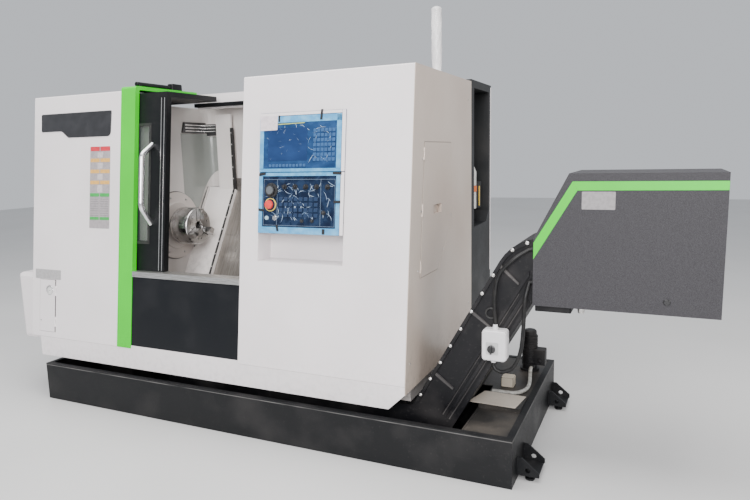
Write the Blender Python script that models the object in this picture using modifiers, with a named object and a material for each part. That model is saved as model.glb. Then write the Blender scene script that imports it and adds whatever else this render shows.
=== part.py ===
"""A slant-bed turning lathe with its chip conveyor.

Lengths are in metres. X runs along the spindle to the right, Y to the back and Z up. Places are
measured from the left end of the front covers, from the front face at the skirt seam and from the
floor. One empty shifts them all, so that the origin lies under the coolant tank, near its middle.
"""
import math

import bmesh
import bpy
from mathutils import Matrix, Vector

for old in list(bpy.data.objects):
    bpy.data.objects.remove(old, do_unlink=True)

# Driving sizes of the whole machine
machine_length = 2.310
machine_depth = 1.015
cover_top = 1.700
left_cover_drop = 0.016
seam_height = 0.344
panel_high = 0.720
front_lean = 0.130
sheet = 0.003
gap = 0.0003
overrun = 0.02

origin_x = 1.400
origin_y = 0.500

left_cover_width = 0.6597
pillar_width = 0.0990
right_cover_width = 0.8642
left_cover_top = cover_top - left_cover_drop
opening_left = left_cover_width + pillar_width + 2 * gap
right_cover_right = machine_length - sheet - gap
right_cover_left = right_cover_right - right_cover_width
opening_right = right_cover_left - gap

# Coolant tank
tank_left = 0.147
tank_beyond = 0.465
tank_right = machine_length + tank_beyond
tank_front = -0.042
tank_depth = 1.042
tank_height = 0.205
tank_wall = 0.006
tank_rim = 0.028
tank_rim_sheet = 0.004

# Spindle axis and the slope that carries the slides
spindle_before_foot = 0.051
spindle_z = 0.945
slope_angle = math.radians(60)
slope_foot_inset = 0.514
slope_foot_y = machine_depth - slope_foot_inset
spindle_y = slope_foot_y - spindle_before_foot
slope_foot_z = 0.670
bed_face_out = -0.100
rail_height = 0.030
rail_width = 0.035
way_rail_low = 0.200
way_rail_high = 0.500
tail_rail_low = 0.030
tail_rail_high = 0.110
bed_left = 0.180
bed_side = 0.040
bed_right = machine_length - bed_side
bed_front_set = 0.059
bed_front = slope_foot_y + bed_front_set
chamber_before_opening = 0.044
chamber_left = opening_left - chamber_before_opening
chamber_side = 0.015
chamber_right = machine_length - chamber_side

# Chip conveyor
conveyor_front = 0.160
conveyor_room = 0.060
conveyor_width = bed_front - conveyor_room - conveyor_front
conveyor_thickness = 0.200
conveyor_angle = math.radians(60)
conveyor_mark_out = 0.316
conveyor_mark_x = machine_length + conveyor_mark_out
conveyor_mark_z = 0.801
conveyor_top = 0.980
conveyor_bend = 0.200
conveyor_tail_in = 0.1347
conveyor_tail = chamber_left + conveyor_tail_in
conveyor_reach = 0.674
conveyor_end = conveyor_mark_x + conveyor_reach
conveyor_floor = tank_wall + gap
conveyor_low_top = 0.200

parts = bpy.data.collections.new("turning_lathe")
cutters = bpy.data.collections.new("cutters")
for group in (parts, cutters):
    bpy.context.scene.collection.children.link(group)

machine = bpy.data.objects.new("machine_frame", None)
machine.location = (-origin_x, -origin_y, 0)
parts.objects.link(machine)


def material(name, colour, roughness, metallic=0.0):
    """A plain Principled material."""
    made = bpy.data.materials.new(name)
    made.use_nodes = True
    shader = made.node_tree.nodes["Principled BSDF"]
    shader.inputs["Base Color"].default_value = (*colour, 1.0)
    shader.inputs["Roughness"].default_value = roughness
    shader.inputs["Metallic"].default_value = metallic
    return made


white_paint = material("white_paint", (0.80, 0.77, 0.76), 0.45)
green_paint = material("green_paint", (0.16, 0.75, 0.09), 0.45)
black_paint = material("black_paint", (0.012, 0.014, 0.018), 0.45)
hood_paint = material("hood_paint", (0.07, 0.068, 0.075), 0.6)
grey_paint = material("grey_paint", (0.35, 0.33, 0.31), 0.5)
dark_paint = material("dark_paint", (0.08, 0.08, 0.075), 0.5)
tray_paint = material("tray_paint", (0.12, 0.10, 0.095), 0.6)
steel = material("steel", (0.55, 0.55, 0.56), 0.3, 1.0)
dark_steel = material("dark_steel", (0.10, 0.10, 0.10), 0.45, 0.8)
cast_paint = material("cast_paint", (0.30, 0.31, 0.30), 0.6)
blue_film = material("blue_film", (0.07, 0.14, 0.34), 0.3)
red_plastic = material("red_plastic", (0.8, 0.04, 0.03), 0.4)
black_plastic = material("black_plastic", (0.01, 0.01, 0.01), 0.4)
pale_plastic = material("pale_plastic", (0.75, 0.74, 0.74), 0.4)
clear_glass = material("clear_glass", (0.25, 0.28, 0.28), 0.05)
black_rubber = material("black_rubber", (0.015, 0.015, 0.015), 0.7)


def front_y(height):
    """Y of the leaning front face at a height; it stands upright below the seam."""
    return max(0.0, height - seam_height) * front_lean


def slope_point(along, out):
    """(y, z) of a point `along` up the slope from its foot and `out` in front of it."""
    rise = math.sin(slope_angle)
    run = math.cos(slope_angle)
    return (slope_foot_y + along * run - out * rise, slope_foot_z + along * rise + out * run)


spindle_out = ((slope_foot_y - spindle_y) * math.sin(slope_angle)
               + (spindle_z - slope_foot_z) * math.cos(slope_angle))


def keep(obj, finish, parent=machine, group=parts):
    """Puts an object into its collection with its material, held by an empty."""
    for user in list(obj.users_collection):
        user.objects.unlink(obj)
    group.objects.link(obj)
    if finish:
        obj.data.materials.clear()
        obj.data.materials.append(finish)
    obj.parent = machine
    bpy.context.view_layer.update()
    if parent is not machine:
        ride(obj, parent)
    return obj


def ride(obj, axis):
    """Hands an object to the empty of its joint and leaves it where it is."""
    bpy.context.view_layer.update()
    place = obj.matrix_world.copy()
    obj.parent = axis
    obj.matrix_parent_inverse = Matrix.Identity(4)
    obj.matrix_basis = axis.matrix_world.inverted() @ place
    bpy.context.view_layer.update()


def joint_axis(name, place, parent=machine):
    """An empty that stands on a joint's axis."""
    made = bpy.data.objects.new(name, None)
    parts.objects.link(made)
    made.parent = machine
    made.location = place
    bpy.context.view_layer.update()
    if parent is not machine:
        ride(made, parent)
    return made


def as_mesh(obj):
    """Makes a curve or an object with modifiers into a plain mesh object with welded seams."""
    bpy.context.view_layer.update()
    graph = bpy.context.evaluated_depsgraph_get()
    mesh = bpy.data.meshes.new_from_object(obj.evaluated_get(graph))
    work = bmesh.new()
    work.from_mesh(mesh)
    bmesh.ops.remove_doubles(work, verts=work.verts, dist=0.00001)
    bmesh.ops.recalc_face_normals(work, faces=work.faces)
    work.to_mesh(mesh)
    work.free()
    made = bpy.data.objects.new(obj.name + "_solid", mesh)
    made.matrix_world = obj.matrix_world.copy()
    name = obj.name
    bpy.data.objects.remove(obj, do_unlink=True)
    made.name = name
    return made


def box(name, low, high, finish=None):
    """A block between two corners."""
    mesh = bpy.data.meshes.new(name)
    work = bmesh.new()
    bmesh.ops.create_cube(work, size=1.0)
    size = [b - a for a, b in zip(low, high)]
    middle = [(a + b) / 2 for a, b in zip(low, high)]
    bmesh.ops.scale(work, verts=work.verts, vec=size)
    bmesh.ops.translate(work, verts=work.verts, vec=middle)
    work.to_mesh(mesh)
    work.free()
    return keep(bpy.data.objects.new(name, mesh), finish)


# Local x, y and z of an outline drawn in each plane
PLANES = {
    "yz": Matrix(((0, 0, 1, 0), (1, 0, 0, 0), (0, 1, 0, 0), (0, 0, 0, 1))),
    "xz": Matrix(((1, 0, 0, 0), (0, 0, -1, 0), (0, 1, 0, 0), (0, 0, 0, 1))),
    "xy": Matrix.Identity(4),
}


def prism(name, outline, plane, low, high, finish=None):
    """A flat outline in a plane, carried from `low` to `high` along the third axis."""
    curve = bpy.data.curves.new(name, "CURVE")
    curve.dimensions = "2D"
    curve.fill_mode = "BOTH"
    spline = curve.splines.new("POLY")
    spline.points.add(len(outline) - 1)
    for point, place in zip(spline.points, outline):
        point.co = (place[0], place[1], 0, 1)
    spline.use_cyclic_u = True
    curve.extrude = (high - low) / 2
    obj = bpy.data.objects.new(name, curve)
    parts.objects.link(obj)
    middle = (low + high) / 2
    if plane == "xz":
        middle = -middle
    obj.matrix_world = PLANES[plane] @ Matrix.Translation((0, 0, middle))
    solid = as_mesh(obj)
    solid.data.transform(solid.matrix_world)
    solid.matrix_world = Matrix.Identity(4)
    return keep(solid, finish)


def turned(name, profile, start, direction, finish=None, steps=32):
    """A solid of revolution: (distance along the axis, radius) pairs from its first end."""
    mesh = bpy.data.meshes.new(name)
    work = bmesh.new()
    pairs = [(profile[0][0], 0.0)] + list(profile) + [(profile[-1][0], 0.0)]
    pairs.reverse()
    verts = [work.verts.new((radius, 0, along)) for along, radius in pairs]
    for first, second in zip(verts, verts[1:]):
        work.edges.new((first, second))
    work.to_mesh(mesh)
    work.free()
    obj = bpy.data.objects.new(name, mesh)
    parts.objects.link(obj)
    screw = obj.modifiers.new("turn", "SCREW")
    screw.axis = "Z"
    screw.steps = steps
    screw.render_steps = steps
    screw.use_merge_vertices = True
    screw.merge_threshold = 0.00001
    screw.use_smooth_shade = False
    turn = Vector((0, 0, 1)).rotation_difference(Vector(direction)).to_matrix().to_4x4()
    obj.matrix_world = Matrix.Translation(start) @ turn
    solid = as_mesh(obj)
    solid.data.transform(solid.matrix_world)
    solid.matrix_world = Matrix.Identity(4)
    return keep(solid, finish)


def tube(name, route, radius, finish=None, sides=2):
    """A round bar or cable along a route of points."""
    curve = bpy.data.curves.new(name, "CURVE")
    curve.dimensions = "3D"
    spline = curve.splines.new("POLY")
    spline.points.add(len(route) - 1)
    for point, place in zip(spline.points, route):
        point.co = (*place, 1)
    curve.bevel_depth = radius
    curve.bevel_resolution = sides
    curve.use_fill_caps = True
    obj = bpy.data.objects.new(name, curve)
    parts.objects.link(obj)
    return keep(as_mesh(obj), finish)


def settle(obj):
    """Turns the modifiers of a solid into its mesh and welds points that fall together."""
    bpy.context.view_layer.update()
    graph = bpy.context.evaluated_depsgraph_get()
    mesh = bpy.data.meshes.new_from_object(obj.evaluated_get(graph))
    work = bmesh.new()
    work.from_mesh(mesh)
    bmesh.ops.remove_doubles(work, verts=work.verts, dist=0.00001)
    bmesh.ops.dissolve_degenerate(work, edges=work.edges, dist=0.00001)
    work.to_mesh(mesh)
    work.free()
    obj.modifiers.clear()
    obj.data = mesh
    return obj


def change(obj, tools, operation):
    """Cuts or joins an object with others, which are used up."""
    for tool in tools:
        keep(tool, None, machine, cutters)
        tool.hide_render = True
        tool.display_type = "WIRE"
        step = obj.modifiers.new(operation.lower(), "BOOLEAN")
        step.operation = operation
        step.object = tool
    settle(obj)
    for tool in tools:
        bpy.data.objects.remove(tool, do_unlink=True)
    return obj


def cut(obj, *tools):
    return change(obj, tools, "DIFFERENCE")


def join(obj, *tools):
    return change(obj, tools, "UNION")


def soften(obj, width, segments=2, limit=60):
    """Rounds the sharp edges of a solid."""
    bevel = obj.modifiers.new("soft edges", "BEVEL")
    bevel.width = width
    bevel.segments = segments
    bevel.limit_method = "ANGLE"
    bevel.angle_limit = math.radians(limit)
    return obj


def arc(centre, radius, first, last, count):
    """Points on a circular arc, angles in degrees."""
    made = []
    for step in range(count + 1):
        angle = math.radians(first + (last - first) * step / count)
        made.append((centre[0] + radius * math.cos(angle), centre[1] + radius * math.sin(angle)))
    return made


def smooth_route(marks, count):
    """A smooth curve through a few marks, read at even steps."""
    ends = [marks[0] * 2 - marks[1]] + marks + [marks[-1] * 2 - marks[-2]]
    made = []
    spans = len(marks) - 1
    for step in range(count + 1):
        place = min(step * spans / count, spans - 1e-9)
        index = int(place)
        t = place - index
        a, b, c, d = ends[index:index + 4]
        made.append(0.5 * (2 * b + (c - a) * t + (2 * a - 5 * b + 4 * c - d) * t * t
                           + (3 * b - a - 3 * c + d) * t * t * t))
    return made


def cable_route(marks, count):
    """A route whose first and last stretches are straight and whose middle is smooth."""
    return [marks[0]] + smooth_route(marks[1:-1], count) + [marks[-1]]


def leaning_sheet(low, high, out, thick):
    """YZ outline of a sheet parallel to the front face, `out` in front of it."""
    return [(front_y(low) - out, low), (front_y(low) - out + thick, low),
            (front_y(high) - out + thick, high), (front_y(high) - out, high)]


def slope_block(name, along, out, left, right, finish=None):
    """A block that lies on the slope between two stations along it and two heights out of it."""
    outline = [slope_point(along[0], out[0]), slope_point(along[1], out[0]), slope_point(along[1], out[1]),
               slope_point(along[0], out[1])]
    return prism(name, outline, "yz", left, right, finish)


# Coolant tank with its feet
foot_reach = 0.090
foot_top = 0.097
foot_tip = 0.040
foot_base = 0.022
foot_plate = 0.008
foot_land = 0.020
foot_front = 0.045
foot_span = 0.135
foot_hole = 0.011
foot_hole_rise = 0.024
bolt_radius = 0.010
bolt_pad_radius = 0.020
bolt_pad_height = 0.008
bolt_head_height = 0.014


def foot(side, front):
    """Two gusset plates on a base plate, with a levelling bolt, as one piece beside the tank."""
    face = tank_right if side > 0 else tank_left
    wall = face - side * tank_wall / 3
    tip = face + side * foot_reach
    land = face + side * foot_land
    outline = [(wall, foot_base), (tip, foot_base), (tip, foot_tip), (land, foot_top), (wall, foot_top)]
    pieces = []
    for start in (front, front + foot_span):
        plate = prism("foot_gusset", outline, "xz", start, start + foot_plate)
        middle = ((wall + tip) / 2, start - overrun, foot_base + foot_hole_rise)
        hole = turned("foot_hole", [(0, foot_hole), (foot_plate + 2 * overrun, foot_hole)], middle, (0, 1, 0),
                      steps=12)
        pieces.append(cut(plate, hole))
    base_tip = tip - side * foot_plate / 4
    base = box("foot_base", (min(wall, base_tip), front + foot_plate / 2, foot_base + foot_plate / 4),
               (max(wall, base_tip), front + foot_span + foot_plate / 2, foot_base + foot_plate))
    pieces.append(base)
    centre = (tip - side * foot_reach * 0.45, front + foot_plate + bolt_pad_radius, 0)
    profile = [(0, bolt_pad_radius), (bolt_pad_height, bolt_pad_radius), (bolt_pad_height, bolt_radius),
               (foot_base + foot_plate / 2, bolt_radius)]
    pieces.append(turned("foot_bolt", profile, centre, (0, 0, 1), steps=16))
    top = (centre[0], centre[1], foot_base + foot_plate / 2)
    profile = [(0, bolt_radius * 1.6), (foot_plate / 2 + bolt_head_height, bolt_radius * 1.6)]
    pieces.append(turned("foot_nut", profile, top, (0, 0, 1), steps=6))
    return pieces


tank_back = tank_front + tank_depth
tank = box("coolant_tank", (tank_left, tank_front, 0), (tank_right, tank_back, tank_height), black_paint)
hollow = box("tank_hollow", (tank_left + tank_wall, tank_front + tank_wall, tank_wall),
             (tank_right - tank_wall, tank_back - tank_wall, tank_height - tank_rim_sheet))
mouth = box("tank_mouth", (tank_left + tank_rim, tank_front + tank_rim, tank_height / 2),
            (tank_right - tank_rim, tank_back - tank_rim, tank_height + overrun))
cut(tank, join(hollow, mouth))
foot_pieces = []
for foot_side in (-1, 1):
    for foot_place in (foot_front, tank_back - foot_front - foot_span - foot_plate):
        foot_pieces += foot(foot_side, foot_place)
join(tank, *foot_pieces)

# Lid, strainer tray and pump deck over the right end of the tank
lid_before_mark = 0.065
lid_left = conveyor_mark_x - lid_before_mark
lid_behind_conveyor = 0.0835
lid_back = conveyor_front + lid_behind_conveyor
lid_sheet = 0.004
lid_drop = 0.003
lid_bead = 0.006
tray_depth = 0.1762
tray_lip = 0.008
deck_clear = 0.020
deck_left = machine_length + deck_clear
float_in = 0.036
float_behind = 0.005
float_size = 0.058
float_height = 0.045

mouth_right = tank_right - tank_rim - gap
mouth_front = tank_front + tank_rim + gap
mouth_back = tank_back - tank_rim - gap
lid_top = tank_height - lid_drop
lid = box("tank_lid", (lid_left, mouth_front, lid_top - lid_sheet), (mouth_right, lid_back, lid_top), tray_paint)
bead = box("lid_bead", (lid_left, lid_back - lid_bead, lid_top - lid_sheet),
           (mouth_right, lid_back, lid_top + lid_drop))
side_bead = box("lid_side_bead", (lid_left, mouth_front, lid_top - lid_sheet),
                (lid_left + lid_bead, lid_back, lid_top + lid_drop))
join(lid, bead, side_bead)

deck_front = lid_back + gap
deck_split = conveyor_front + conveyor_width + deck_clear
tray_back = deck_front + tray_depth
float_left = lid_left + float_in
float_front = deck_split + float_behind
deck_outline = [(lid_left, deck_front), (mouth_right, deck_front), (mouth_right, mouth_back),
                (deck_left, mouth_back), (deck_left, deck_split), (lid_left, deck_split)]
deck = prism("tank_deck", deck_outline, "xy", lid_top - lid_sheet, lid_top, tray_paint)
tray = box("strainer_tray", (lid_left, deck_front, lid_top - lid_sheet),
           (mouth_right, tray_back, lid_top + tray_lip))
tray_rail = box("tray_rail", (lid_left, deck_front + tray_lip, lid_top - lid_sheet),
                (mouth_right, tray_back - tray_lip, lid_top + tray_lip + lid_sheet))
float_box = box("float_box", (float_left, float_front, lid_top - lid_sheet),
                (float_left + float_size, float_front + float_size, lid_top + float_height))
join(deck, tray, tray_rail, float_box)

# Coolant pump with its terminal box
pump_right_inset = 0.097
pump_x = tank_right - pump_right_inset
pump_back_inset = 0.180
pump_y = tank_back - pump_back_inset
pump_radius = 0.039
pump_flange = 0.048
pump_flange_height = 0.010
pump_height = 0.212
pump_cap = 0.030
pump_cap_radius = 0.034
pump_box_width = 0.042
pump_box_depth = 0.060
pump_box_low = 0.035
pump_box_high = 0.115

pump_base = lid_top + gap
profile = [(0, pump_flange), (pump_flange_height, pump_flange), (pump_flange_height, pump_radius * 0.9),
           (pump_flange_height * 3, pump_radius * 0.9), (pump_flange_height * 3, pump_radius),
           (pump_height - pump_cap, pump_radius), (pump_height - pump_cap, pump_cap_radius),
           (pump_height - pump_cap / 3, pump_cap_radius), (pump_height, pump_cap_radius * 0.8)]
pump = turned("coolant_pump", profile, (pump_x, pump_y, pump_base), (0, 0, 1), black_plastic, steps=32)
terminal = box("pump_terminal", (pump_x, pump_y - pump_box_depth / 2, pump_base + pump_box_low),
               (pump_x + pump_radius + pump_box_width, pump_y + pump_box_depth / 2, pump_base + pump_box_high))
hose_radius = 0.009
outlet_height = 0.030
outlet_drop = 0.006
outlet = turned("pump_outlet", [(0, hose_radius * 1.4), (pump_box_depth + outlet_drop, hose_radius * 1.4)],
                (pump_x + pump_radius / 2, pump_y, pump_base + outlet_height), (0, -1, 0), steps=12)
join(pump, terminal, outlet)

# Way covers, chamber sheets and chute are cut along this slope, so it comes first
band_behind_wall = 0.0847
band_left = chamber_left + band_behind_wall
band_width = 0.110
band_right = band_left + band_width
band_out = 0.0125
band_low = -0.020
cover_high = 0.560
cover_upright = 1.200
vertex_along = 0.530
band_top_drop = 0.120
band_upright_top = cover_top - band_top_drop
apron_high = 0.551
back_panel_inset = 0.215
back_panel_y = machine_depth - back_panel_inset
back_panel_low = 1.150
ring_radius = 0.192
ring_step = 0.018
band_front_y = slope_point(vertex_along, band_out)[0]
band_back_y = band_front_y + band_out

profile = [slope_point(band_low, 0), slope_point(band_low, band_out), slope_point(vertex_along, band_out),
           (band_front_y, band_upright_top), (band_back_y, band_upright_top),
           (band_back_y, slope_point(vertex_along, 0)[1]), slope_point(vertex_along, 0)]
way_cover = prism("way_cover_fixed", profile, "yz", band_left, band_right, white_paint)
profile = [slope_point(band_low, 0), slope_point(band_low, sheet), slope_point(apron_high, sheet),
           slope_point(apron_high, 0)]
apron = prism("way_cover_apron", profile, "yz", chamber_left + gap, band_left + band_out, None)
ring_room = turned("ring_room", [(0, ring_radius + gap), (ring_step + overrun + gap, ring_radius + gap)],
                   (chamber_left - overrun, spindle_y, spindle_z), (1, 0, 0), steps=48)
cut(apron, ring_room)
wiper_width = 0.008
profile = [slope_point(band_low, -sheet * 2), slope_point(band_low, band_out + sheet),
           slope_point(vertex_along, band_out + sheet), slope_point(vertex_along, -sheet * 2)]
wiper = prism("way_cover_wiper", profile, "yz", band_right - wiper_width, band_right + wiper_width, None)
join(way_cover, apron, wiper)

# Chamber liner: headstock wall, dark corner guard and back panel as one folded sheet
liner_bottom = 0.655
liner_drop = 0.080
liner_top = cover_top - liner_drop
wall_behind_spindle = 0.087
wall_back_y = spindle_y + wall_behind_spindle
guard_step = 0.014
guard_radius = 0.075
liner_front_inset = 0.090
flange_bore = 0.100

wall_x = chamber_left - sheet
guard_x = wall_x - guard_step
guard_centre = (guard_x + guard_radius, back_panel_y - guard_radius + sheet)
front_start = front_y(liner_bottom) + liner_front_inset
inner = [(wall_x + sheet, front_start), (wall_x + sheet, wall_back_y), (guard_x + sheet, wall_back_y)]
inner += arc(guard_centre, guard_radius - sheet, 180, 90, 6)
inner += [(chamber_right, back_panel_y)]
outer = [(chamber_right, back_panel_y + sheet)]
outer += arc(guard_centre, guard_radius, 90, 180, 6)
outer += [(guard_x, wall_back_y - sheet), (wall_x, wall_back_y - sheet), (wall_x, front_start)]
liner = prism("chamber_liner", inner + outer, "xy", liner_bottom, liner_top, grey_paint)
behind = [slope_point(band_low * 4, band_out + gap + sheet), slope_point(vertex_along, band_out + gap + sheet),
          (band_front_y - gap, back_panel_low), (machine_depth * 1.2, back_panel_low),
          (machine_depth * 1.2, liner_bottom - overrun), (slope_foot_y, liner_bottom - overrun)]
behind_cut = prism("behind_slope", behind, "yz", chamber_left - sheet * 20, chamber_right + overrun)
front_slant = [(front_start - overrun, liner_bottom - overrun), (front_start + gap, liner_bottom - overrun),
               (front_y(liner_top) + liner_front_inset, liner_top + overrun),
               (front_start - overrun, liner_top + overrun)]
front_cut = prism("front_slant", front_slant, "yz", wall_x - overrun, chamber_left + overrun)
spindle_hole = turned("spindle_hole", [(0, flange_bore), (sheet + 2 * overrun, flange_bore)],
                      (wall_x - overrun, spindle_y, spindle_z), (1, 0, 0), steps=32)
cut(liner, behind_cut, front_cut, spindle_hole)
lamp_drop = 0.165
lamp_low = liner_top - lamp_drop
lamp_tall = 0.075
lamp_high = lamp_low + lamp_tall
lamp_depth = 0.030
lamp_left = guard_x + sheet
lamp = box("work_lamp", (lamp_left + sheet, back_panel_y - lamp_depth, lamp_low),
           (band_left - sheet, back_panel_y + sheet / 2, lamp_high))
join(liner, lamp)

# Big ring flange round the spindle nose
ring_bore = 0.075
ring_thick = 0.010
ring_step_radius = 0.135
profile = [(0, ring_radius), (ring_thick * 0.7, ring_radius), (ring_thick, ring_radius - ring_thick * 0.3),
           (ring_thick, ring_step_radius), (ring_step, ring_step_radius - ring_thick / 2)]
ring = turned("spindle_flange", profile, (chamber_left + gap, spindle_y, spindle_z), (1, 0, 0), grey_paint,
              steps=40)
ring_hole = turned("ring_hole", [(0, ring_bore), (ring_step + 2 * overrun, ring_bore)],
                   (chamber_left - overrun, spindle_y, spindle_z), (1, 0, 0), steps=32)
cut(ring, ring_hole)

# Slant bed with its linear rails, the screw bearings and the screw's servo motor
bed_base = 0.060
bed_back_inset = 0.045
bed_back = machine_depth - bed_back_inset
screw_steps = 16
bed_face_low = -0.100
bed_face_high = 0.660
foot_pad_radius = 0.035
screw_along = 0.350
screw_out = -0.078
screw_radius = 0.016
bearing_size = 0.022
bearing_behind_wall = 0.0447
bearing_left = chamber_left + bearing_behind_wall
bearing_inset = 0.080
bearing_right = bed_right - bearing_inset
bearing_length = 0.040
screw_room = (screw_radius + gap) / math.cos(math.pi / screw_steps)

profile = [(bed_front, bed_base), slope_point(bed_face_low, bed_face_out),
           slope_point(bed_face_high, bed_face_out), (bed_back, slope_point(bed_face_high, bed_face_out)[1]),
           (bed_back, bed_base)]
bed = prism("bed_casting", profile, "yz", bed_left, bed_right, cast_paint)
pieces = []
tail_rail_length = 0.570
tail_rail_left = bed_right - tail_rail_length
for along, start in ((way_rail_low, bearing_left), (way_rail_high, bearing_left), (tail_rail_low, tail_rail_left),
                     (tail_rail_high, tail_rail_left)):
    pieces.append(slope_block("slide_rail", (along - rail_width / 2, along + rail_width / 2),
                              (bed_face_out - overrun, bed_face_out + rail_height), start, bed_right))
screw_y, screw_z = slope_point(screw_along, screw_out)
for start in (bearing_left, bearing_right):
    pieces.append(slope_block("screw_bearing", (screw_along - bearing_size, screw_along + bearing_size),
                              (bed_face_out - overrun, screw_out + bearing_size), start, start + bearing_length))
pad_inset = 0.080
end_tie = 0.300
for pad_x in (bed_left + pad_inset, bed_right - pad_inset):
    for pad_y in (bed_front + pad_inset, bed_back - pad_inset):
        pad_height = bed_base - tank_wall - gap + overrun / 4
        pieces.append(turned("bed_pad", [(0, foot_pad_radius), (pad_height, foot_pad_radius)],
                             (pad_x, pad_y, tank_wall + gap), (0, 0, 1), steps=16))
cover_bracket = 0.060
bracket_low = 0.900
for bracket_x in (bed_left + end_tie, bed_right - end_tie - cover_bracket):
    pieces.append(box("cover_bracket", (bracket_x, bed_back - overrun, bracket_low),
                      (bracket_x + cover_bracket, machine_depth - sheet - 2 * gap, bracket_low + cover_bracket)))
join(bed, *pieces)
screw_bore = turned("screw_bore", [(0, screw_room), (machine_length, screw_room)],
                    (bearing_left + bearing_length / 2, screw_y, screw_z), (1, 0, 0), steps=screw_steps)
cut(bed, screw_bore)
pocket_count = 4
rib_width = 0.045
core_height = 0.300
end_rib = 0.160
core_pitch = (bed_right - bed_left - 2 * end_rib + rib_width) / pocket_count
cores = []
for number in range(pocket_count):
    core_left = bed_left + end_rib + number * core_pitch
    cores.append(box("bed_core", (core_left, bed_front + rib_width, bed_base - overrun),
                     (core_left + core_pitch - rib_width, bed_back - rib_width, bed_base + core_height)))
cut(bed, *cores)

# Spindle motor with its foot in the tank, in front of the bed
motor_before_spindle = 0.150
motor_y = spindle_y - motor_before_spindle
motor_below_spindle = 0.540
motor_z = spindle_z - motor_below_spindle
motor_radius = 0.100
motor_after_pulley = 0.110
motor_length = 0.320
motor_pulley_radius = 0.060
spindle_pulley_radius = 0.085
pulley_before_bed = 0.050
pulley_left = bed_left - pulley_before_bed
motor_left = pulley_left + motor_after_pulley
pulley_width = 0.060
belt_thick = 0.008

motor_profile = [(0, motor_radius * 0.7), (motor_radius * 0.2, motor_radius), (motor_length, motor_radius)]
motor = turned("spindle_motor", motor_profile, (motor_left, motor_y, motor_z), (1, 0, 0), dark_paint, steps=32)
shaft_start = pulley_left + pulley_width + gap
nose_length = motor_left - shaft_start + overrun
motor_nose = turned("motor_nose", [(0, motor_radius * 0.3), (nose_length, motor_radius * 0.3)],
                    (shaft_start, motor_y, motor_z), (1, 0, 0), steps=24)
foot_half = motor_radius * 0.8
motor_foot = box("motor_foot", (motor_left + overrun * 2, motor_y - foot_half, tank_wall + gap),
                 (motor_left + motor_length - overrun * 2, motor_y + foot_half, motor_z))
join(motor, motor_nose, motor_foot)

motor_axis = joint_axis("motor_axis", (pulley_left, motor_y, motor_z))
motor_pulley = turned("motor_pulley", [(0, motor_pulley_radius), (pulley_width, motor_pulley_radius)],
                      (pulley_left, motor_y, motor_z), (1, 0, 0), dark_steel, steps=32)
ride(motor_pulley, motor_axis)


def belt_loop(extra):
    """Outline of a band round both pulleys, its arcs joined by the tangents."""
    low = (motor_y, motor_z)
    high = (spindle_y, spindle_z)
    small = motor_pulley_radius + extra
    large = spindle_pulley_radius + extra
    reach = math.hypot(high[0] - low[0], high[1] - low[1])
    lie = math.degrees(math.atan2(high[1] - low[1], high[0] - low[0]))
    slip = math.degrees(math.acos((large - small) / reach))
    top = arc(high, large, lie - 180 + slip, lie + 180 - slip, 16)
    bottom = arc(low, small, lie + 180 - slip, lie + 180 + slip, 12)
    return top + bottom


belt = prism("drive_belt", belt_loop(gap * 2 + belt_thick), "yz", pulley_left + gap,
             pulley_left + pulley_width - gap, black_rubber)
belt_inside = prism("belt_inside", belt_loop(gap * 2), "yz", pulley_left - overrun,
                    pulley_left + pulley_width + overrun)
cut(belt, belt_inside)

# Headstock casting on the bed, with a bore for the spindle
head_inset = 0.040
head_left = bed_left + head_inset
head_clear = 0.0553
head_right = chamber_left - head_clear
head_radius = 0.120
head_low = 0.020
head_high = 0.480
spindle_radius = 0.045
foot_a = slope_point(head_low, bed_face_out + gap)
foot_b = slope_point(head_high, bed_face_out + gap)
profile = [foot_b, foot_a] + arc((spindle_y, spindle_z), head_radius, 235, 60, 12)
headstock = prism("headstock_casting", profile, "yz", head_left, head_right, cast_paint)
bore_length = head_right - head_left + 2 * overrun
head_bore = turned("head_bore", [(0, spindle_radius + gap), (bore_length, spindle_radius + gap)],
                   (head_left - overrun, spindle_y, spindle_z), (1, 0, 0), steps=32)
cut(headstock, head_bore)

# Spindle with rear pulley and nose, chuck body and jaws
nose_gap = 0.0005
nose_start = head_right + nose_gap
nose_radius = 0.058
nose_out = 0.0447
nose_end = chamber_left + nose_out
chuck_radius = 0.105
chuck_length = 0.120
chuck_edge = 0.006
chuck_bore = 0.026
jaw_width = 0.030
jaw_slot_depth = 0.018
jaw_low = 0.042
jaw_high = 0.098
jaw_base_height = 0.030
jaw_step_height = 0.022
jaw_step_share = 0.55
jaw_slot_low = 0.030

spindle_axis = joint_axis("spindle_axis", (nose_end, spindle_y, spindle_z))
spindle_start = pulley_left - overrun
profile = [(0, spindle_radius), (pulley_left - spindle_start, spindle_radius),
           (pulley_left - spindle_start, spindle_pulley_radius),
           (pulley_left + pulley_width - spindle_start, spindle_pulley_radius),
           (pulley_left + pulley_width - spindle_start, spindle_radius),
           (nose_start - spindle_start, spindle_radius), (nose_start - spindle_start, nose_radius),
           (nose_end - spindle_start, nose_radius)]
spindle = turned("spindle", profile, (spindle_start, spindle_y, spindle_z), (1, 0, 0), steel, steps=32)
ride(spindle, spindle_axis)

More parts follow.
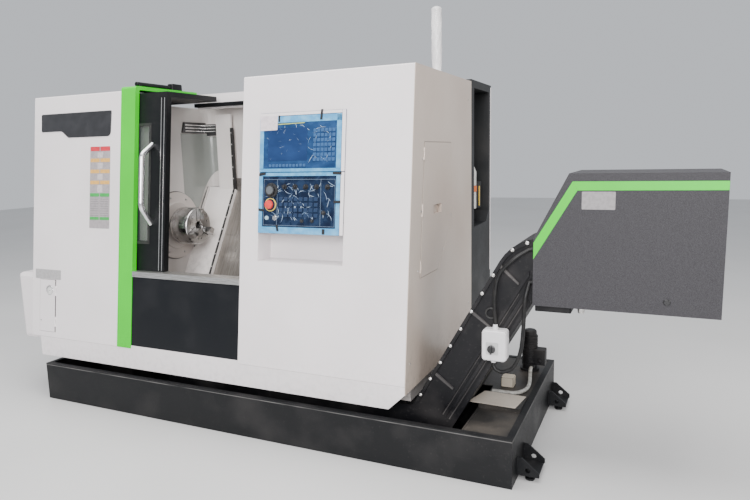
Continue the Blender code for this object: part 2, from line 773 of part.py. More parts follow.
chuck_start = nose_end + gap
profile = [(0, chuck_radius - chuck_edge), (chuck_edge, chuck_radius), (chuck_length - chuck_edge, chuck_radius),
           (chuck_length, chuck_radius - chuck_edge)]
chuck = turned("chuck_body", profile, (chuck_start, spindle_y, spindle_z), (1, 0, 0), steel, steps=48)
bore = turned("chuck_hole", [(0, chuck_bore), (chuck_length / 2 + overrun, chuck_bore)],
              (chuck_start + chuck_length / 2, spindle_y, spindle_z), (1, 0, 0), steps=24)
tools = [bore]
chuck_face = chuck_start + chuck_length
turns = [Matrix.Rotation(math.radians(angle), 4, "X") for angle in (90, 210, 330)]
centre_shift = Matrix.Translation((0, spindle_y, spindle_z))
for turn in turns:
    slot = box("jaw_slot", (chuck_face - jaw_slot_depth, jaw_slot_low, -jaw_width / 2 - gap),
               (chuck_face + overrun, chuck_radius + overrun, jaw_width / 2 + gap))
    slot.data.transform(centre_shift @ turn)
    tools.append(slot)
cut(chuck, *tools)
ride(chuck, spindle_axis)

for number, turn in enumerate(turns, 1):
    outward = (turn @ Vector((0, 1, 0))) * (jaw_low + jaw_high) / 2
    axis_place = (chuck_face, spindle_y + outward.y, spindle_z + outward.z)
    jaw_axis = joint_axis("jaw_axis_%d" % number, axis_place, spindle_axis)
    jaw = box("chuck_jaw_%d" % number, (chuck_face - jaw_slot_depth + gap, jaw_low, -jaw_width / 2),
              (chuck_face + jaw_base_height, jaw_high, jaw_width / 2), steel)
    step_top = jaw_low + (jaw_high - jaw_low) * jaw_step_share
    step = box("jaw_step", (chuck_face, jaw_low, -jaw_width / 2),
               (chuck_face + jaw_base_height + jaw_step_height, step_top, jaw_width / 2))
    join(jaw, step)
    jaw.data.transform(centre_shift @ turn)
    ride(jaw, jaw_axis)

# Saddle on the rails, with the ball nut's bore and the cross slide's motor
saddle_shown = 0.0022
saddle_left = opening_right - saddle_shown
saddle_length = 0.320
saddle_right = saddle_left + saddle_length
saddle_low = 0.135
saddle_high = 0.580
boss_low = 0.160
boss_high = 0.540
boss_out = 0.004
saddle_clear = 0.005
saddle_under = bed_face_out + saddle_clear
saddle_top = -0.026
cross_motor_size = 0.080

saddle_axis = joint_axis("saddle_axis", (saddle_left, *slope_point(way_rail_low, bed_face_out + rail_height)))


saddle = slope_block("saddle", (saddle_low, saddle_high), (saddle_under, saddle_top), saddle_left, saddle_right,
                     cast_paint)
boss = slope_block("saddle_boss", (boss_low, boss_high), (saddle_top - overrun, boss_out),
                   saddle_left + overrun, saddle_right - overrun)
cross_motor = slope_block("cross_motor", (saddle_high - overrun, saddle_high + cross_motor_size),
                          (saddle_under, saddle_top), saddle_left + cross_motor_size,
                          saddle_left + cross_motor_size * 2)
join(saddle, boss, cross_motor)
tools = []
for along in (way_rail_low, way_rail_high):
    half = rail_width / 2 + gap
    tools.append(slope_block("rail_channel", (along - half, along + half),
                             (saddle_under - overrun, bed_face_out + rail_height + gap),
                             saddle_left - overrun, saddle_right + overrun))
nut_length = saddle_right - saddle_left + 2 * overrun
tools.append(turned("nut_bore", [(0, screw_room), (nut_length, screw_room)],
                    (saddle_left - overrun, screw_y, screw_z), (1, 0, 0), steps=screw_steps))
cut(saddle, *tools)
ride(saddle, saddle_axis)

screw_axis = joint_axis("screw_axis", (bearing_left + bearing_length / 2, screw_y, screw_z))
screw_start = bearing_left + bearing_length / 2 + gap
screw_end = bearing_right + bearing_length + overrun
screw = turned("ball_screw", [(0, screw_radius), (screw_end - screw_start, screw_radius)],
               (screw_start, screw_y, screw_z), (1, 0, 0), steel, steps=screw_steps)
ride(screw, screw_axis)

# Telescopic way covers: the middle plate follows, the saddle plate frames the saddle's boss
cover_overlap = 0.005
middle_left = band_right - cover_overlap
middle_share = 0.4818
middle_right = band_right + (saddle_left + overrun - band_right) * middle_share
middle_out = -0.010
plate = 0.003
saddle_plate_out = -0.020
saddle_plate_left = middle_right - 2 * cover_overlap
saddle_plate_inset = 0.030
saddle_plate_right = bed_right - saddle_plate_inset
right_plate_low = 0.195


def way_plate(name, low, out, left, right, finish=None):
    """A cover plate on the slope that turns upright at its upper end."""
    back = slope_point(cover_high, out)
    front = slope_point(cover_high, out + plate)
    outline = [slope_point(low, out), slope_point(low, out + plate), front, (front[0], cover_upright),
               (front[0] + plate, cover_upright), (front[0] + plate, back[1] - gap), back]
    return prism(name, outline, "yz", left, right, finish)


middle_axis = joint_axis("middle_cover_axis", (middle_left, *slope_point(0, middle_out)))
middle_cover = way_plate("way_cover_middle", band_low, middle_out, middle_left, middle_right, grey_paint)
fold = slope_block("middle_fold", (band_low, vertex_along), (middle_out + plate / 2, middle_out + plate * 2),
                   middle_right - plate * 2, middle_right)
join(middle_cover, fold)
ride(middle_cover, middle_axis)

saddle_cover = way_plate("way_cover_saddle", band_low, saddle_plate_out, saddle_plate_left,
                         saddle_plate_right, grey_paint)
tail_room = slope_block("tail_room", (band_low - overrun, right_plate_low),
                        (saddle_plate_out - overrun, saddle_plate_out + overrun), saddle_right - overrun,
                        saddle_plate_right + overrun)
cut(saddle_cover, tail_room)
window = slope_block("saddle_window", (boss_low - gap, boss_high + gap),
                     (saddle_plate_out - overrun, saddle_plate_out + overrun), saddle_left + overrun - gap,
                     saddle_right - overrun + gap)
cut(saddle_cover, window)
ride(saddle_cover, saddle_axis)

# Cross slide with the turret head, and the turret disc with its holders
cross_inset = 0.070
cross_left = saddle_left + cross_inset
cross_width = 0.220
cross_right = cross_left + cross_width
cross_low = 0.220
cross_high = 0.585
cross_thick = 0.046
turret_along = 0.470
turret_head_radius = 0.095
disc_before_saddle = 0.015
disc_left = saddle_left - disc_before_saddle
disc_clear = 0.006
disc_right = cross_left - disc_clear
disc_radius = 0.115
stations = 8
holder_length = 0.045
holder_width = 0.050
tool_tip_radius = 0.165
tool_size = 0.012

turret_y, turret_z = slope_point(turret_along, spindle_out)
cross_axis = joint_axis("cross_axis", (cross_left, *slope_point(cross_low, boss_out)), saddle_axis)
cross = slope_block("cross_slide", (cross_low, cross_high), (boss_out + gap, boss_out + cross_thick), cross_left,
                    cross_right, cast_paint)
head = turned("turret_head", [(0, turret_head_radius - overrun / 2), (overrun / 2, turret_head_radius),
                              (cross_right - disc_right - gap, turret_head_radius)],
              (disc_right + gap, turret_y, turret_z), (1, 0, 0), steps=32)
pier = slope_block("turret_pier", (turret_along - turret_head_radius, turret_along + turret_head_radius),
                   (boss_out + cross_thick - overrun, spindle_out), disc_right + overrun, cross_right)
join(cross, head, pier)
ride(cross, cross_axis)

turret_axis = joint_axis("turret_axis", (disc_left, turret_y, turret_z), cross_axis)
profile = [(0, disc_radius - chuck_edge), (chuck_edge, disc_radius), (disc_right - disc_left, disc_radius)]
disc = turned("turret_disc", profile, (disc_left, turret_y, turret_z), (1, 0, 0), steel, steps=stations)
turret_shift = Matrix.Translation((0, turret_y, turret_z))
pieces = []
for number in range(stations):
    turn = Matrix.Rotation(2 * math.pi * (number + 0.5) / stations, 4, "X")
    block = box("tool_holder", (disc_left + chuck_edge, disc_radius * 0.8, -holder_width / 2),
                (disc_left + chuck_edge + holder_length, disc_radius + overrun, holder_width / 2))
    tip = box("tool", (disc_left + chuck_edge * 2, disc_radius * 0.8, -tool_size),
              (disc_left + chuck_edge * 2 + tool_size * 1.5, tool_tip_radius, tool_size / 2))
    for piece in (block, tip):
        piece.data.transform(turret_shift @ turn)
        pieces.append(piece)
join(disc, *pieces)
ride(disc, turret_axis)

# Tailstock on the lower rails, with its quill and centre
tail_inset = 0.070
tail_length = 0.220
tail_right = bed_right - tail_inset
tail_left = tail_right - tail_length
tail_low = -0.030
tail_high = 0.140
tail_head_radius = 0.055
quill_radius = 0.032
quill_out = 0.080
quill_start = tail_left - quill_out
quill_length = 0.240
centre_length = 0.060

tail_axis = joint_axis("tail_axis", (tail_left, *slope_point(tail_low, bed_face_out + rail_height)))
outline = [slope_point(tail_high, saddle_under), slope_point(tail_low, saddle_under)]
outline += arc((spindle_y, spindle_z), tail_head_radius, 250, -10, 12)
tail = prism("tailstock", outline, "yz", tail_left, tail_right, cast_paint)
tools = []
for along in (tail_rail_low, tail_rail_high):
    half = rail_width / 2 + gap
    tools.append(slope_block("tail_channel", (along - half, along + half),
                             (saddle_under - overrun, bed_face_out + rail_height + gap), tail_left - overrun,
                             tail_right + overrun))
bore_length = tail_length + 2 * overrun
tools.append(turned("quill_bore", [(0, quill_radius + gap), (bore_length, quill_radius + gap)],
                    (tail_left - overrun, spindle_y, spindle_z), (1, 0, 0), steps=24))
cut(tail, *tools)
ride(tail, tail_axis)

quill_axis = joint_axis("quill_axis", (tail_left, spindle_y, spindle_z), tail_axis)
profile = [(0, quill_radius * 0.05), (centre_length * 0.4, quill_radius * 0.6),
           (centre_length, quill_radius * 0.6), (centre_length, quill_radius), (quill_length, quill_radius)]
quill = turned("tailstock_quill", profile, (quill_start, spindle_y, spindle_z), (1, 0, 0), steel, steps=24)
ride(quill, quill_axis)

# Chip chute between the sill, the way covers and the conveyor trough
chute_front_drop = 0.025
chute_front_top = panel_high - chute_front_drop
chute_back_inset = 0.012
chute_back_y = conveyor_front + conveyor_width - chute_back_inset
chute_back_top = 0.630
chute_clear = 0.015
chute_low = conveyor_low_top + chute_clear
chute_right = bed_right
front_panel_thick = 0.020
chute_front_inset = 0.075
outer = [(front_y(chute_front_top) + chute_front_inset, chute_front_top), (conveyor_front + sheet, chute_low),
         (chute_back_y, chute_low), (chute_back_y, chute_back_top)]
chute = prism("chip_chute", outer, "yz", chamber_left + gap, chute_right, grey_paint)
inner = [(outer[0][0] + sheet, chute_front_top + overrun), (conveyor_front + sheet * 2, chute_low - overrun),
         (chute_back_y - sheet, chute_low - overrun), (chute_back_y - sheet, chute_front_top + overrun)]
chute_inside = prism("chute_inside", inner, "yz", chamber_left + gap + sheet, chute_right - sheet)
cut(chute, chute_inside)
flange_z = chute_front_top - 2 * sheet
chute_flange = box("chute_flange", (opening_left, front_y(flange_z + sheet) + front_panel_thick + gap, flange_z),
                   (opening_right, outer[0][0] + sheet, flange_z + sheet))
join(chute, chute_flange)


def knuckle_hinge(frame, leaf, place, across, stations, knuckle):
    """Two knuckle pairs on a hinge line that leans with the front.

    `place` is the foot of the line, `across` points from the leaf to the frame. The frame carries a
    knuckle above and below each one of the leaf.
    """
    upward = Vector((0, front_lean, 1)).normalized()
    across = Vector(across)
    for station in stations:
        middle = Vector(place) + upward * station
        own = turned("leaf_knuckle", [(0, knuckle), (knuckle * 6, knuckle)], middle - upward * knuckle * 3,
                     upward, steps=12)
        join(leaf, own)
        for side in (-1, 1):
            start = middle + upward * side * (knuckle * 3 + gap)
            end = turned("frame_knuckle", [(0, knuckle), (knuckle * 3, knuckle)], start, upward * side, steps=12)
            wing = end.copy()
            wing.data = end.data.copy()
            wing.data.transform(Matrix.Translation(across * knuckle))
            room = turned("knuckle_room", [(0, knuckle + gap), (knuckle * 3 + gap, knuckle + gap)], start,
                          upward * side, steps=12)
            keep(wing, None)
            cut(leaf, room)
            join(frame, end, wing)


# Left front cover with the gauge on its bracket, the hatch opening and the roof
hatch_left = 0.061
hatch_right = 0.181
hatch_low = 0.375
hatch_high = 0.666
hatch_gap = 0.002
hinge_room = 0.0083
hinge_knuckle = 0.0045
hinge_inset = 0.0025
gauge_in = 0.075
gauge_x = hatch_left + gauge_in
gauge_drop = 0.061
gauge_z = hatch_high - gauge_drop
gauge_radius = 0.030
gauge_depth = 0.024
bracket_half = 0.030
corner_round = 0.020

seam_gap = 0.0013
hatch_knob_rise = 0.060
cover_bottom = seam_height + seam_gap


def folded_cover(top, back):
    """YZ outline of a front sheet with the roof sheet that it turns into."""
    return [(front_y(cover_bottom), cover_bottom), (front_y(cover_bottom) + sheet, cover_bottom),
            (front_y(top - sheet) + sheet, top - sheet), (back, top - sheet), (back, top),
            (front_y(top) + sheet * 1.5, top), (front_y(top - sheet * 1.5), top - sheet * 1.5)]


left_back = machine_depth - gap
left_cover = prism("left_front_cover", folded_cover(left_cover_top, left_back), "yz", 0, left_cover_width,
                   white_paint)
opening = prism("hatch_opening", leaning_sheet(hatch_low - hatch_gap, hatch_high + hatch_gap, overrun / 2,
                                               overrun), "yz", hatch_left - hatch_gap, hatch_right + hinge_room)
cut(left_cover, opening)
bracket = prism("gauge_bracket", leaning_sheet(gauge_z - bracket_half - sheet, gauge_z + bracket_half + sheet,
                                               -sheet - gauge_depth - gap * 4, sheet), "yz",
                hatch_left - overrun - sheet, hatch_right + overrun + sheet)
side_legs = []
for leg_left in (hatch_left - overrun, hatch_right + overrun - sheet):
    side_legs.append(prism("bracket_leg", leaning_sheet(gauge_z - bracket_half, gauge_z + bracket_half,
                                                        -sheet / 2, gauge_depth + sheet * 1.5), "yz", leg_left,
                           leg_left + sheet))
normal = Vector((0, -1, front_lean)).normalized()
gauge_start = (gauge_x, front_y(gauge_z) + sheet * 1.5 + gauge_depth + gap * 4, gauge_z)
profile = [(0, gauge_radius * 0.8), (gauge_depth * 0.3, gauge_radius), (gauge_depth, gauge_radius)]
gauge = turned("gauge", profile, gauge_start, normal, steps=24)
join(left_cover, bracket, *side_legs, gauge)

hatch_hinge = (hatch_right + hinge_inset, front_y(hatch_low), hatch_low)
hatch_axis = joint_axis("hatch_axis", hatch_hinge)
hatch = prism("service_hatch", leaning_sheet(hatch_low, hatch_high, 0, sheet - gap), "yz", hatch_left,
              hatch_right - sheet / 3, white_paint)
hatch_hole = turned("hatch_hole", [(0, gauge_radius * 0.95), (overrun * 2, gauge_radius * 0.95)],
                    (gauge_x, front_y(gauge_z) + overrun, gauge_z), normal, steps=24)
cut(hatch, hatch_hole)
knob_z = hatch_low + hatch_knob_rise
knob_place = (hatch_left + corner_round / 2, front_y(knob_z) + sheet / 2, knob_z)
hatch_knob = turned("hatch_knob", [(0, sheet), (sheet, sheet)], knob_place, normal, steps=12)
join(hatch, hatch_knob)
hatch_height = hatch_high - hatch_low
knuckle_hinge(left_cover, hatch, hatch_hinge, (1, 0, 0), (hatch_height * 0.2, hatch_height * 0.8), hinge_knuckle)
ride(hatch, hatch_axis)

# Left end cover with its lower box
end_box_left = 0.020
end_box_low = 0.350
end_box_drop = 0.164
end_box_high = left_cover_top - end_box_drop
end_box_front = 0.020
lower_box_left = 0.150
lower_box_front = 0.060
lower_box_back = 0.500
lower_box_low = 0.300
lower_box_high = 0.690
end_inset = 0.0033

profile = [(front_y(cover_bottom) + end_inset, cover_bottom),
           (front_y(left_cover_top - end_inset) + end_inset, left_cover_top - end_inset),
           (left_back, left_cover_top - end_inset), (left_back, cover_bottom)]
end_cover = prism("left_end_cover", profile, "yz", 0, sheet, white_paint)
end_box = prism("end_box", [(front_y(end_box_low) + end_box_front, end_box_low),
                            (left_back, end_box_low), (left_back, end_box_high),
                            (front_y(end_box_high) + end_box_front, end_box_high)], "yz", -end_box_left,
                sheet / 2)
soften(end_box, corner_round / 2, 2)
lower_box = box("lower_box", (-lower_box_left, lower_box_front, lower_box_low),
                (-gap, lower_box_back, lower_box_high))
soften(lower_box, corner_round, 2)
lower_tie = box("lower_tie", (-end_box_left, end_box_front + corner_round, lower_box_low + corner_round * 4),
                (0, lower_box_back - corner_round, lower_box_high - corner_round))
join(end_cover, end_box, lower_box, lower_tie)

# Green pillar that turns over the roof edge
pillar_out = 0.003
pillar_thick = 0.030
pillar_rise = 0.005
pillar_top = cover_top + pillar_rise
pillar_roof = 0.0203
beam_inset = 0.365
beam_front = machine_depth - beam_inset
pillar_back = beam_front
pillar_round = 0.018
pillar_left = left_cover_width + gap
pillar_right = pillar_left + pillar_width
low = cover_bottom + gap
under = pillar_top - pillar_roof
outline = [(front_y(low) - pillar_out, low), (front_y(low) - pillar_out + pillar_thick, low),
           (front_y(under) - pillar_out + pillar_thick, under), (pillar_back, under), (pillar_back, pillar_top)]
outline += arc((front_y(pillar_top) - pillar_out + pillar_round, pillar_top - pillar_round), pillar_round, 90,
               180, 4)
pillar = prism("green_pillar", outline, "yz", pillar_left, pillar_right, green_paint)

# Lower skirt, black lower panel and silver sill rail
skirt_thick = 0.012
skirt_left = 0.069
skirt_clear = 0.030
skirt_bottom = tank_height + skirt_clear
skirt_chamfer = 0.0767
skirt_chamfer_x = right_cover_right - skirt_chamfer
side_drop = 0.036
skirt_chamfer_z = seam_height - side_drop
panel_rise = 0.0165
panel_low = seam_height + panel_rise
sill_height = 0.028
sill_high = panel_high + sill_height
sill_out = 0.004
sill_depth = 0.068

outline = [(skirt_left, skirt_bottom), (skirt_chamfer_x, skirt_bottom), (right_cover_right, skirt_chamfer_z),
           (right_cover_right, seam_height), (opening_right, seam_height), (opening_right, panel_low - gap),
           (opening_left, panel_low - gap), (opening_left, seam_height), (skirt_left, seam_height)]
skirt = prism("front_skirt", outline, "xz", 0, skirt_thick, white_paint)
outline = leaning_sheet(panel_low, panel_high, 0, front_panel_thick)
prism("lower_front_panel", outline, "yz",
                    opening_left, opening_right, black_paint)
sill = prism("sill_rail", leaning_sheet(panel_high + gap, sill_high, sill_out, sill_depth), "yz", opening_left,
             opening_right, steel)

# Sliding door: black frame that turns over into the roof, window and chrome pull handle
door_inset = 0.032
door_thick = 0.035
door_shown = 0.1807
door_right = opening_left + door_shown
door_width = 0.690
door_left = door_right - door_width
door_drop = 0.032
door_roof_top = cover_top - door_drop
door_roof = 0.028
door_back_clear = 0.050
door_back = beam_front - door_back_clear
window_left_inset = 0.080
window_left = door_left + window_left_inset
window_right_inset = 0.110
window_right = door_right - window_right_inset
window_low = 0.900
window_drop = 0.200
window_high = cover_top - window_drop
glass_thick = 0.008
trim_width = 0.004
trim_depth = 0.004
trim_inset = 0.012
trim_pitch = 0.020
handle_inset = 0.090
handle_x = door_right - handle_inset
handle_out = 0.040
handle_radius = 0.013
handle_foot_high = 1.405
handle_foot_low = 0.998
handle_grip_high = 1.345
handle_grip_low = 1.080

door_axis = joint_axis("door_axis", (door_left, front_y(sill_high) + door_inset, sill_high))
low = sill_high + gap
under = door_roof_top - door_roof
outline = [(front_y(low) + door_inset, low), (front_y(low) + door_inset + door_thick, low),
           (front_y(under) + door_inset + door_thick, under), (door_back, under), (door_back, door_roof_top),
           (front_y(door_roof_top) + door_inset, door_roof_top)]
door = prism("door_frame", outline, "yz", door_left, door_right, black_paint)
window_hole = prism("window_hole", leaning_sheet(window_low, window_high, -door_inset + overrun,
                                                 door_thick + 2 * overrun), "yz", window_left, window_right)
tools = [window_hole]
for number in range(2):
    groove_right = door_right - trim_inset - number * trim_pitch
    tools.append(prism("trim_groove", leaning_sheet(low + trim_width, under, -door_inset + trim_depth,
                                                    trim_depth * 2), "yz", groove_right - trim_width,
                       groove_right))
cut(door, *tools)
ride(door, door_axis)
glass_set = -door_inset - (door_thick - glass_thick) / 2
glass = prism("door_window", leaning_sheet(window_low + gap, window_high - gap, glass_set, glass_thick), "yz",
              window_left + gap, window_right - gap, clear_glass)
ride(glass, door_axis)


def on_door(height, out):
    return Vector((handle_x, front_y(height) + door_inset - gap - out, height))


marks = [on_door(handle_foot_high, 0), on_door(handle_grip_high, handle_out + door_inset),
         on_door(handle_grip_low, handle_out + door_inset), on_door(handle_foot_low, 0)]
bend = 0.020
route = [marks[0]]
for index in (1, 2):
    before = (marks[index - 1] - marks[index]).normalized() * bend
    after = (marks[index + 1] - marks[index]).normalized() * bend
    for step in range(5):
        t = step / 4
        route.append(marks[index] + before * (1 - t) * (1 - t) + after * t * t)
route.append(marks[3])
handle = tube("door_handle", route, handle_radius, steel, 3)
plate_half = handle_radius * 1.3
behind_face = prism("door_face_cut", leaning_sheet(handle_foot_low - plate_half * 4,
                                                   handle_foot_high + plate_half * 4, -door_inset + gap,
                                                   overrun * 4), "yz", handle_x - plate_half * 3,
                    handle_x + plate_half * 3)
cut(handle, behind_face)
ride(handle, door_axis)

# Rear cover: back sheet and the roof behind the door, with its front beam and black guide
beam_drop = 0.008
beam_height = 0.082
beam_high = cover_top - beam_drop
beam_low = beam_high - beam_height
beam_depth = 0.050
guide_reach = 0.030
guide_front = beam_front - guide_reach
guide_drop = 0.0305
guide_high = door_roof_top - guide_drop
guide_height = 0.0195
guide_low = guide_high - guide_height
rear_roof = 0.012
rear_low = 0.260

rear_front = machine_depth - gap - sheet
rear_cover = box("rear_cover", (sheet + gap, rear_front, rear_low),
                 (right_cover_right, machine_depth - gap, liner_top), white_paint)
rear_roof_box = box("rear_roof", (opening_left, beam_front, beam_high - rear_roof),
                    (opening_right, machine_depth - gap, beam_high))
rear_upstand = box("rear_upstand", (opening_left, rear_front, liner_top - overrun),
                   (opening_right, machine_depth - gap, beam_high))
beam = box("roof_beam", (opening_left, beam_front, beam_low),
           (opening_right, beam_front + beam_depth, beam_high))
guide = box("door_guide", (opening_left, guide_front, guide_low),
            (opening_right, beam_front + sheet, guide_high))
join(rear_cover, rear_roof_box, rear_upstand, beam, guide)

# Right front cover with the pocket that holds the control
pocket_inset = 0.3127
pocket_width = 0.451
pocket_right = right_cover_right - pocket_inset
pocket_left = pocket_right - pocket_width
pocket_drop = 0.175
pocket_height = 0.685
pocket_high = cover_top - pocket_drop
pocket_low = pocket_high - pocket_height
pocket_depth = 0.112
cheek_depth = 0.100
cheek_drop = 0.015
cheek_low = panel_high - cheek_drop
cheek_roof_drop = 0.095
cheek_roof_low = cover_top - cheek_roof_drop
cheek_clear = 0.010
cheek_back = beam_front - cheek_clear

right_cover = prism("right_front_cover", folded_cover(cover_top, machine_depth - gap), "yz", right_cover_left,
                    right_cover_right, white_paint)
outline = [(front_y(cheek_low) + sheet / 2, cheek_low), (front_y(cheek_low) + cheek_depth, cheek_low),
           (front_y(cheek_roof_low) + cheek_depth, cheek_roof_low), (cheek_back, cheek_roof_low),
           (cheek_back, cover_top - sheet / 2), (front_y(cover_top) + sheet * 3, cover_top - sheet / 2),
           (front_y(cover_top - sheet * 3) + sheet / 2, cover_top - sheet * 3)]
cheek = prism("door_cheek", outline, "yz", right_cover_left, right_cover_left + sheet)
pocket_shell = prism("pocket_shell", leaning_sheet(pocket_low - sheet, pocket_high + sheet, -sheet / 2,
                                                   pocket_depth + sheet / 2), "yz", pocket_left - sheet,
                     pocket_right + sheet)
join(right_cover, cheek, pocket_shell)
pocket = prism("pocket", leaning_sheet(pocket_low, pocket_high, overrun, pocket_depth + overrun - sheet), "yz",
               pocket_left, pocket_right)
cut(right_cover, pocket)

# Control: display unit above, keypad unit below, with dials, selectors and emergency stop
display_height = 0.272
unit_split = pocket_high - display_height
keypad_height = 0.280
unit_low = unit_split - keypad_height
unit_thick = 0.060
unit_side = 0.0006
display_out = 0.004

outline = leaning_sheet(unit_split + gap, pocket_high - unit_side, display_out, unit_thick)
display = prism("display_unit", outline, "yz", pocket_left + unit_side, pocket_right - unit_side, blue_film)
soften(display, display_out / 2, 1)
keypad = prism("keypad_unit", leaning_sheet(unit_low, unit_split - gap, display_out, unit_thick), "yz",
               pocket_left + unit_side, pocket_right - unit_side, blue_film)
soften(keypad, display_out / 2, 1)
mount_inset = 0.060
mount_depth = pocket_depth - sheet - unit_thick + display_out
mount = prism("unit_mount", leaning_sheet(unit_low + mount_inset, pocket_high - mount_inset,
                                          -unit_thick + display_out - gap, mount_depth), "yz",
              pocket_left + mount_inset, pocket_right - mount_inset)
join(right_cover, mount)


def on_front(x, height, out):
    return (x, front_y(height) - out, height)


def control_knob(name, x, height, profile, finish, steps=20):
    """A turned knob whose axis stands square on the leaning front."""
    place = on_front(x, height, display_out + gap)
    made = turned(name, profile, place, normal, finish, steps)
    ride(made, joint_axis(name + "_axis", place))


dial_radius = 0.034
dial_height = 0.024
dial_in = 0.075
dial_drop = 0.083
profile = [(0, dial_radius), (dial_height * 0.4, dial_radius), (dial_height * 0.5, dial_radius * 0.75),
           (dial_height, dial_radius * 0.7)]
control_knob("mode_dial", pocket_left + dial_in, unit_split - dial_drop, profile, black_plastic, 28)
selector_radius = 0.012
selector_height = 0.018
selector_in = 0.145
selector_pitch = 0.0562
selector_drop = 0.067
for number in range(5):
    profile = [(0, selector_radius), (selector_height * 0.35, selector_radius),
               (selector_height * 0.4, selector_radius * 0.7), (selector_height, selector_radius * 0.6)]
    control_knob("panel_selector_%d" % (number + 1), pocket_left + selector_in + number * selector_pitch,
                 unit_split - selector_drop, profile, black_plastic, 12)
stop_in = 0.069
stop_drop = 0.149
stop_collar = 0.030
stop_collar_height = 0.008
stop_stem = 0.010
stop_radius = 0.021
stop_head = 0.014
stop_travel = 0.006
stop_base = Vector(on_front(pocket_left + stop_in, unit_split - stop_drop, display_out))
collar = turned("stop_collar", [(0, stop_collar), (stop_collar_height, stop_collar * 0.9)],
                stop_base - normal * sheet, normal, steps=24)
collar_bore = turned("collar_bore", [(0, stop_stem + gap), (overrun * 2, stop_stem + gap)],
                     stop_base - normal * (stop_travel + gap * 3), normal, steps=24)
bpy.context.view_layer.update()
join(keypad, collar)
cut(keypad, collar_bore)
keypad.data.materials.clear()
keypad.data.materials.append(blue_film)
stop_place = stop_base + normal * gap
cap_start = stop_collar_height - sheet + stop_travel
stop_axis = joint_axis("e_stop_axis", stop_place)
profile = [(0, stop_stem), (cap_start, stop_stem), (cap_start, stop_radius),
           (cap_start + stop_head * 0.6, stop_radius), (cap_start + stop_head, stop_radius * 0.75)]
e_stop = turned("e_stop", profile, stop_place, normal, red_plastic, 24)
ride(e_stop, stop_axis)

# Right side cover with the access door
side_low = skirt_chamfer_z
side_top = cover_top
access_offset = 0.145
access_drop = 0.326
access_high = cover_top - access_drop
access_back = beam_front
access_turn = 0.981
access_slant = 0.202
access_foot_y = access_back - access_slant
access_low = 0.780
access_gap = 0.002
hinge_gap = 0.0093
latch_inset = 0.151
latch_width = 0.115
latch_back = access_back - latch_inset
latch_front = latch_back - latch_width
latch_low = 1.047
latch_high = 1.088
latch_depth = 0.018

side_left = machine_length - sheet
profile = [(front_y(seam_height), seam_height), (front_y(side_top), side_top), (machine_depth, side_top),
           (machine_depth, side_low), (0, side_low)]
side_cover = prism("right_side_cover", profile, "yz", side_left, machine_length, white_paint)
access = [(front_y(access_low) + access_offset, access_low), (access_foot_y, access_low),
          (access_back, access_turn), (access_back, access_high),
          (front_y(access_high) + access_offset, access_high)]
access_hole = [(access[0][0] - hinge_gap, access_low - access_gap),
               (access_foot_y + access_gap, access_low - access_gap),
               (access_back + access_gap, access_turn - access_gap),
               (access_back + access_gap, access_high + access_gap),
               (access[4][0] - hinge_gap, access_high + access_gap)]
cut(side_cover, prism("access_hole", access_hole, "yz", side_left - overrun, machine_length + overrun))
access_hinge = (machine_length, access[0][0] - hinge_inset - sheet / 3, access_low)
access_axis = joint_axis("access_axis", access_hinge)
access_door = prism("side_access_door", access, "yz", side_left, machine_length, white_paint)
latch_shell = box("latch_shell", (side_left - latch_depth, latch_front - sheet, latch_low - sheet),
                  (machine_length - gap, latch_back + sheet, latch_high + sheet))
latch_hole = box("latch_hole", (side_left - latch_depth + sheet, latch_front, latch_low),
                 (machine_length + overrun, latch_back, latch_high))
join(access_door, latch_shell)
cut(access_door, latch_hole)
access_height = access_high - access_low
knuckle_hinge(side_cover, access_door, access_hinge, normal,
              (access_height * 0.08, access_height * 0.5, access_height * 0.92), hinge_knuckle)
ride(access_door, access_axis)

# Rear cabinet with an open recess in its right side, and the air and lubrication parts in it
cabinet_length = 0.860
cabinet_left = machine_length - cabinet_length
cabinet_front = machine_depth + gap
cabinet_depth = 0.4247
cabinet_back = cabinet_front + cabinet_depth
cabinet_low = 0.300
cabinet_rise = 0.012
cabinet_top = cover_top + cabinet_rise
recess_front_wall = 0.0547
recess_front = cabinet_front + recess_front_wall
recess_back_wall = 0.047
recess_back = cabinet_back - recess_back_wall
recess_low = 0.912
recess_drop = 0.042
recess_high = cabinet_top - recess_drop
recess_depth = 0.100
cabinet = box("rear_cabinet", (cabinet_left, cabinet_front, cabinet_low),
              (machine_length, cabinet_back, cabinet_top), dark_paint)
recess_outline = [(recess_front, recess_low - overrun / 4), (recess_back - overrun * 3, recess_low),
                  (recess_back, recess_low + overrun * 3), (recess_back, recess_high),
                  (recess_front, recess_high)]
cut(cabinet, prism("cabinet_recess", recess_outline, "yz", machine_length - recess_depth,
                   machine_length + overrun))
unit_back_x = machine_length - recess_depth
air_in = 0.130
air_y = recess_front + air_in
air_low = 1.000
air_tall = 0.210
air_high = air_low + air_tall
air_radius = 0.030
unit_plate = box("air_plate", (unit_back_x - sheet, air_y - air_radius * 1.6, air_low),
                 (unit_back_x + air_radius, air_y + air_radius * 4.5, air_high))
profile = [(0, air_radius), (air_tall, air_radius), (air_tall + air_radius, air_radius * 0.6)]
bottle = turned("oil_bottle", profile, (unit_back_x + air_radius * 1.5, air_y, air_low), (0, 0, 1), steps=16)
regulator = box("regulator", (unit_back_x, air_y + air_radius * 2, air_low),
                (unit_back_x + air_radius * 2.4, air_y + air_radius * 4, air_high - air_radius * 2))
join(cabinet, unit_plate, bottle, regulator)

